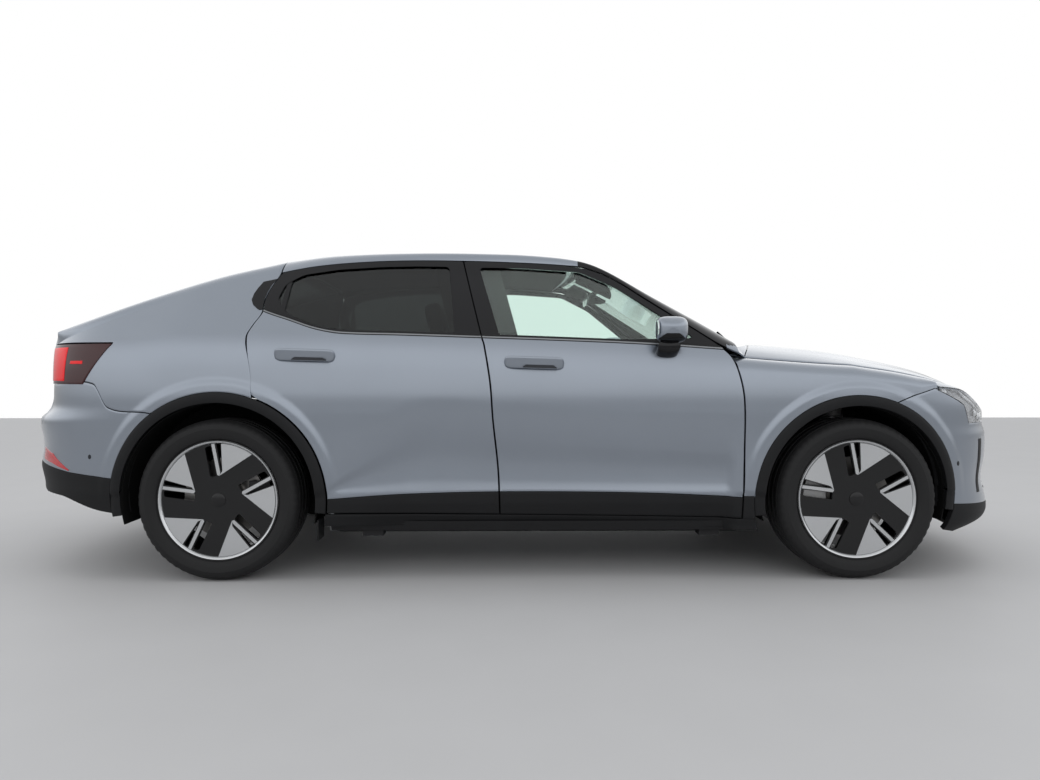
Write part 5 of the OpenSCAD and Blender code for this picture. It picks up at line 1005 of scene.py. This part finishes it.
slots = [rounded(polar([(0.918, -14.4), (0.937, -7.9), (0.413, -2.7), (0.407, -19.9)], k), 0.008, 0.01) for k in range(5)]
slots += [rounded(polar([(0.955, -2.2), (0.955, 2.2), (0.515, 6.8), (0.50, 5.0)], k), 0.003, 0.01) for k in range(5)]
silver = []
for k in range(5):
    bar_loop = polar([(0.958, -6.8), (0.958, -3.6), (0.46, 4.6), (0.415, 2.7), (0.43, -2.2)], k)
    fan_loop = polar([(0.415, 2.7), (0.50, 8.2), (0.958, 3.2)] + [(0.958, a) for a in np.linspace(6, 36.3, 12)], k)
    silver += [plate([loop], in_wheel(FACE + 0.004), 0.006) for loop in (bar_loop, fan_loop)]
silver.append(lathe([(0.2565, 0.104), (0.2525, 0.1085), (0.247, 0.107), (0.2415, 0.099), (0.2405, 0.094), (0.249, 0.094)], 120))
black_face = [plate([circle(RIM_R * 0.965)] + slots, in_wheel(FACE), 0.018),
              lathe([(0.2585, 0.106), (0.2545, 0.1045), (0.246, 0.095), (0.243, 0.06), (0.236, 0.03), (0.232, -0.06), (0.244, -0.092), (0.253, -0.107),
                     (0.2595, -0.107), (0.252, -0.088), (0.240, -0.058), (0.246, 0.035), (0.252, 0.08)], 120),
              lathe([(0.0, FACE + 0.007), (0.024, FACE + 0.0065), (0.030, FACE + 0.003), (0.031, FACE - 0.02), (0.0, FACE - 0.02)], 48),
              lathe([(0.0, FACE - 0.016), (0.075, FACE - 0.016), (0.070, 0.045), (0.0, 0.045)], 64)]
disc = [lathe([(0.105, 0.0), (0.1725, 0.0), (0.1725, 0.010), (0.168, 0.0105), (0.168, 0.0175), (0.1725, 0.018), (0.1725, 0.028), (0.095, 0.028),
               (0.095, 0.044), (0.0, 0.044), (0.0, 0.040), (0.09, 0.040), (0.09, 0.0)], 96)]


def at_wheel(parts, axle, side):
    turn = np.array([1, 1, 1]) if side > 0 else np.array([-1, -1, 1])
    return [(np.asarray(v) * turn + [axle, side * WHEEL_Y, HUB_Z], f) for v, f in parts]


for end, axle in (("front", FRONT_AXLE), ("rear", REAR_AXLE)):
    for word, side in SIDES:
        body = f"wheel_{end}_{word}"
        piece(f"{end}_rim_{word}", at_wheel(black_face, axle, side), BLACK_ALLOY, body, 1, [body])
        piece(f"{end}_silver_face_{word}", at_wheel(silver, axle, side), MACHINED, body)
        piece(f"{end}_brake_disc_{word}", at_wheel(disc, axle, side), DISC_IRON, body)

# Tyres: black rubber with a ribbed tread, notched shoulders and a plain side wall, pressed onto the rims.
RUBBER = finish("tyre_rubber", (0.011, 0.011, 0.0115), 0.62, scale=350, spread=0.2, relief=0.4, bump=0.0004, specular_ior_level=0.3)
half_tyre = [(0.2575, 0.098), (0.263, 0.1085), (0.268, 0.112), (0.276, 0.1165), (0.290, 0.1205), (0.3045, 0.1222), (0.3055, 0.1225), (0.307, 0.1215),
             (0.319, 0.119), (0.3275, 0.1145), (0.3345, 0.1075), (0.3395, 0.099), (0.3425, 0.089), (0.3375, 0.0885), (0.3375, 0.0825), (0.3433, 0.082),
             (0.3450, 0.05), (0.3380, 0.0495), (0.3380, 0.0405), (0.3453, 0.040), (0.3459, 0.012), (0.3385, 0.0115), (0.3385, 0.0)]
profile = half_tyre + [(r, -y) for r, y in half_tyre[-2::-1]] + [(0.262, -0.092), (0.30, -0.108), (0.330, -0.085), (0.332, 0.085), (0.30, 0.108), (0.262, 0.092)]


def notched(count=180):
    verts, faces = lathe(profile, count)
    verts = verts.reshape(len(profile), count, 3)
    for i in [9, 10, 11, 2 * len(half_tyre) - 11, 2 * len(half_tyre) - 12, 2 * len(half_tyre) - 13]:
        verts[i, ::3, 0] *= 0.9905
        verts[i, ::3, 2] *= 0.9905
    return verts.reshape(-1, 3), faces


for end, axle in (("front", FRONT_AXLE), ("rear", REAR_AXLE)):
    for word, side in SIDES:
        piece(f"{end}_tyre_{word}", at_wheel([notched()], axle, side), RUBBER, f"wheel_{end}_{word}", 1, [f"tyre_{end}_{word}"])

# Wipers and mud flaps: black arms with rubber blades on the cowl, and small moulded flaps on the sills.
def rod(points, radius, count=10):
    p = np.asarray(points, float)
    rings = []
    for i in range(len(p)):
        along = unit(p[min(i + 1, len(p) - 1)] - p[max(i - 1, 0)])
        one = unit(np.cross(along, [0.3, 0.2, 1.0]))
        two = np.cross(along, one)
        rings.append([p[i] + radius * (math.cos(a) * one + math.sin(a) * two) for a in np.linspace(0, 2 * np.pi, count + 1)[:-1]])
    return loft(rings)


wipers = []
for w0, w1, u0, u1 in ((0.62, -0.12, 0.985, 0.93), (-0.25, -0.88, 0.995, 0.90)):
    q = np.linspace(0, 1, 14)
    blade = screen(lerp(u0, u1, q), lerp(w0, w1, q), -0.012 + 0 * q)
    wipers += [rod(blade, 0.005), rod(np.vstack([screen(np.array([1.0]), np.array([w0 - 0.05]), np.array([-0.008])), blade[6:7] + [0, 0, 0.008]]), 0.007)]
piece("wipers", wipers, GRAINED, "body")
for word, side in SIDES:
    flaps = [shell(np.stack(np.broadcast_arrays(-0.885 + 0 * q, lerp(0.80, 0.905, q), lerp(0.172, 0.26, r)), -1), 0.006, 0.001)
             for q, r in [np.meshgrid(np.linspace(0, 1, 6), np.linspace(0, 1, 6))]]
    piece(f"mud_flap_{word}", flaps, GRAINED, "body", side)

# Dashboard and steering wheel: soft black trim with a wide screen, air vents and a leather rim.
SOFT_TRIM = finish("soft_black_trim", (0.02, 0.02, 0.021), 0.65, scale=500, spread=0.25, relief=0.5, bump=0.0003)
LEATHER = finish("black_leather", (0.018, 0.018, 0.018), 0.5, scale=260, spread=0.25, relief=0.8, bump=0.0006)
for node, material in (("dashboard", SOFT_TRIM), ("cowl", GRAINED), ("steering_wheel", LEATHER)):
    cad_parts[node].data.materials.clear()
    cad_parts[node].data.materials.append(material)
SCREEN_GLASS = finish("dark_screen_glass", (0.006, 0.007, 0.009), 0.06, scale=100, spread=0.05, relief=0.0, coat_weight=1.0)
panel_loop = rounded([(-0.13, 0.90), (0.13, 0.90), (0.13, 0.97), (-0.13, 0.97)], 0.01)
piece("dash_screen", [plate([panel_loop], lambda p, d: np.stack([0.655 + d + 0.2 * (p[:, 1] - 0.9), p[:, 0], p[:, 1]], -1), 0.012)], SCREEN_GLASS, "body")

# Headliner: felted board pressed to the roof's curve and clipped under it.
FELT = finish("dark_felt", (0.022, 0.022, 0.024), 0.95, scale=700, spread=0.3, relief=0.7, specular_ior_level=0.1)
u, w = np.linspace(0.03, 0.99, 40), np.linspace(-0.97, 0.97, 41)
lining = roof_grid[np.ix_(np.round(u * 59).astype(int), np.round((w + 1) * 30).astype(int))] - np.array([0, 0, 0.034])
piece("headliner", [shell(lining, 0.004, 0.001)], FELT, "body")

# Sun visors and rear-view mirror: padded boards folded up behind the windscreen's top edge, and a black moulded mirror on a stalk.
visors = []
for k in (1, -1):
    ring = rounded([(0.055, k * 0.16), (0.055, k * 0.80), (0.25, k * 0.76), (0.27, k * 0.18)], 0.02, 0.03)
    visors.append(plate([ring], lambda p, d: screen(p[:, 0], p[:, 1], 0.035 + d + 0 * p[:, 0]), 0.016, step=0.05))
piece("sun_visors", visors, FELT, "body")
hang = screen(np.array([0.20]), np.array([0.0]), np.array([0.0]))[0]
glass_back = [hang + np.array([-0.09 + 0.012 * q, 0, -0.065]) + np.stack([0 * p[:, 0], p[:, 0] * (1 - 0.25 * q * q), p[:, 1] * (1 - 0.3 * q * q)], -1)
              for q, p in [(q, oval(0.125, 0.034, 3.0)) for q in (0, 0.5, 1.0, 1.5)]]
piece("rear_view_mirror", [loft(glass_back), rod([hang + [-0.006, 0, -0.008], hang + [-0.05, 0, -0.035], hang + [-0.08, 0, -0.062]], 0.012)],
      GLOSS_BLACK, "body")

# Seats: foam cushions with raised side bolsters under dark woven covers, sewn in panels with piped seams.
# The front pair stand on the floor; the rear one is a bench.
COVER = finish("dark_woven_cover", (0.026, 0.026, 0.029), 0.85, scale=900, spread=0.45, relief=1.0, bump=0.0008, sheen_weight=0.3)
PIPING = finish("seam_piping", (0.045, 0.045, 0.05), 0.7, scale=600, spread=0.2, relief=0.5)


def pad(middle, size, tilt, power=4.5):
    """A plump cushion leaning back by tilt degrees, with a seam cord round it."""
    a, b, c = np.array(size) / 2
    e, o = np.linspace(-np.pi / 2, np.pi / 2, 19), np.arange(40) * 2 * np.pi / 40
    def bulge(x):
        return np.sign(x) * np.abs(x) ** (2 / power)
    rings = np.stack([a * bulge(np.cos(e))[:, None] * bulge(np.cos(o)), b * bulge(np.cos(e))[:, None] * bulge(np.sin(o)), c * bulge(np.sin(e))[:, None] + 0 * o], -1)
    rings = rings[1:-1]
    tilt = math.radians(tilt)
    turn = np.array([[math.cos(tilt), 0, math.sin(tilt)], [0, 1, 0], [-math.sin(tilt), 0, math.cos(tilt)]])
    cord = np.stack([a * 1.002 * bulge(np.cos(o)), b * 1.002 * bulge(np.sin(o)), 0 * o + 0.25 * c], -1)
    return loft(rings @ turn.T + middle), rod(np.vstack([cord, cord[:1]]) @ turn.T + middle, 0.003, 6)


def seat_pads(x, y, z, width):
    bolster = 0.085
    inner = width - 2 * bolster
    items = [pad((x + 0.285, y, z + 0.125), (0.50, inner, 0.13), -4), pad((x - 0.065, y, z + 0.47), (0.12, inner, 0.62), -22)]
    for k in (1, -1):
        items += [pad((x + 0.275, y + k * (inner + bolster) / 2, z + 0.135), (0.48, bolster, 0.15), -4),
                  pad((x - 0.055, y + k * (inner + bolster) / 2, z + 0.45), (0.15, bolster, 0.56), -22)]
    return items


seats = {"left": seat_pads(-0.1837, 0.370, 0.3006, 0.50), "right": seat_pads(-0.1837, -0.370, 0.3006, 0.50)}
for word, items in seats.items():
    middle_y = 0.370 if word == "left" else -0.370
    items.append(pad((-0.418, middle_y, 1.135), (0.085, 0.27, 0.185), -16))
    cover = piece(f"front_seat_{word}", [p for p, _ in items], COVER, "body", 1, ["front_seats"] if word == "left" else ())
    piece(f"front_seat_seams_{word}", [c for _, c in items], PIPING, "body")
items = []
for k in (-1, 0, 1):
    items += [pad((-0.60, k * 0.393, 0.425), (0.50, 0.385, 0.14), -4), pad((-0.925, k * 0.393, 0.80), (0.12, 0.385, 0.60), -22)]
bench = piece("rear_bench", [p for p, _ in items], COVER, "body", 1, ["rear_seat"])
piece("rear_bench_seams", [c for _, c in items], PIPING, "body")

# Under the body: dip-coated floor and carriers, plain battery case, cast drive units and uprights, moulded arch liners.
UNDER_STEEL = finish("dip_coated_steel", (0.03, 0.03, 0.032), 0.5, metal=0.3, scale=200, spread=0.2, relief=0.3)
CASE_ALLOY = finish("battery_case_sheet", (0.30, 0.31, 0.32), 0.4, metal=0.9, scale=200, spread=0.1, relief=0.1)
CAST_ALLOY = finish("cast_alloy", (0.42, 0.42, 0.42), 0.45, metal=0.9, scale=250, spread=0.15, relief=0.4, bump=0.0004)
LINER = finish("felted_liner", (0.008, 0.008, 0.008), 0.9, scale=500, spread=0.3, relief=0.8, specular_ior_level=0.1)
for material, nodes in ((UNDER_STEEL, ("floor_pan", "front_frame", "front_carrier", "rear_carrier")), (CASE_ALLOY, ("battery_pack",)),
                        (CAST_ALLOY, ("front_drive_unit", "rear_drive_unit", "knuckle_left", "knuckle_right")), (LINER, ("arch_liners",))):
    for node in nodes:
        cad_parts[node].data.materials.clear()
        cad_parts[node].data.materials.append(material)

# Studio: a pale floor plane under a white backdrop from the world, soft light from above and both sides, and the camera
# at the photo's view.
FLOOR = finish("pale_floor", (0.45, 0.45, 0.455), 0.6, scale=3, spread=0.02, relief=0.0)
mesh = bpy.data.meshes.new("studio_floor")
mesh.from_pydata([(-14, -10, 0), (14, -10, 0), (14, 12, 0), (-14, 12, 0)], [], [(0, 1, 2, 3)])
mesh.materials.append(FLOOR)
floor = bpy.data.objects.new("studio_floor", mesh)
bpy.context.scene.collection.objects.link(floor)
world = bpy.data.worlds.new("studio") if bpy.context.scene.world is None else bpy.context.scene.world
bpy.context.scene.world = world
world.use_nodes = True
tree = world.node_tree
tree.nodes.clear()
sky, glow, pick, path = (tree.nodes.new(kind) for kind in ("ShaderNodeBackground", "ShaderNodeBackground", "ShaderNodeMixShader", "ShaderNodeLightPath"))
place, split, ramp, seen = (tree.nodes.new(kind) for kind in ("ShaderNodeTexCoord", "ShaderNodeSeparateXYZ", "ShaderNodeValToRGB", "ShaderNodeMath"))
for spot, level in ((0.0, 0.40), (0.05, 0.60), (0.18, 1.12), (0.42, 1.16), (0.70, 0.86)):
    stop = ramp.color_ramp.elements.new(spot)
    stop.color = (level, level * 1.01, level * 1.025, 1)
ramp.color_ramp.elements.remove(ramp.color_ramp.elements[0])
ramp.color_ramp.elements[-1].color = (0.74, 0.75, 0.76, 1)
sky.inputs["Strength"].default_value = 1.0
glow.inputs["Color"].default_value, glow.inputs["Strength"].default_value = (1, 1, 1, 1), 1.0
seen.operation = "MAXIMUM"
tree.links.new(place.outputs["Generated"], split.inputs[0])
tree.links.new(split.outputs["Z"], ramp.inputs["Fac"])
tree.links.new(ramp.outputs["Color"], sky.inputs["Color"])
tree.links.new(path.outputs["Is Camera Ray"], seen.inputs[0])
tree.links.new(path.outputs["Is Transmission Ray"], seen.inputs[1])
tree.links.new(seen.outputs[0], pick.inputs["Fac"])
tree.links.new(sky.outputs[0], pick.inputs[1])
tree.links.new(glow.outputs[0], pick.inputs[2])
tree.links.new(pick.outputs[0], tree.nodes.new("ShaderNodeOutputWorld").inputs["Surface"])


def soft_lamp(name, place, aim, size, power):
    data = bpy.data.lights.new(name, "AREA")
    data.shape, data.size, data.size_y, data.energy = "RECTANGLE", size[0], size[1], power
    lamp = bpy.data.objects.new(name, data)
    lamp.location = place
    lamp.rotation_euler = (Vector(aim) - Vector(place)).to_track_quat("-Z", "Y").to_euler()
    lamp.visible_glossy = False
    bpy.context.scene.collection.objects.link(lamp)


soft_lamp("ceiling_panel", (0, -0.6, 4.6), (0, 0, 0.5), (7.0, 3.2), 60)
soft_lamp("side_panel", (0.5, -6.5, 3.4), (0, 0, 0.7), (8.0, 2.0), 50)
camera_data = bpy.data.cameras.new("photo_view")
camera_data.lens, camera_data.sensor_width, camera_data.sensor_fit = 27.497, 36.0, "HORIZONTAL"
camera = bpy.data.objects.new("photo_view", camera_data)
camera.location = (-0.0617, -4.292, 0.880)
camera.rotation_euler = (math.pi / 2 - 0.018985, 0, -0.01247)
bpy.context.scene.collection.objects.link(camera)
bpy.context.scene.camera = camera
bpy.context.scene.view_settings.view_transform = "Standard"
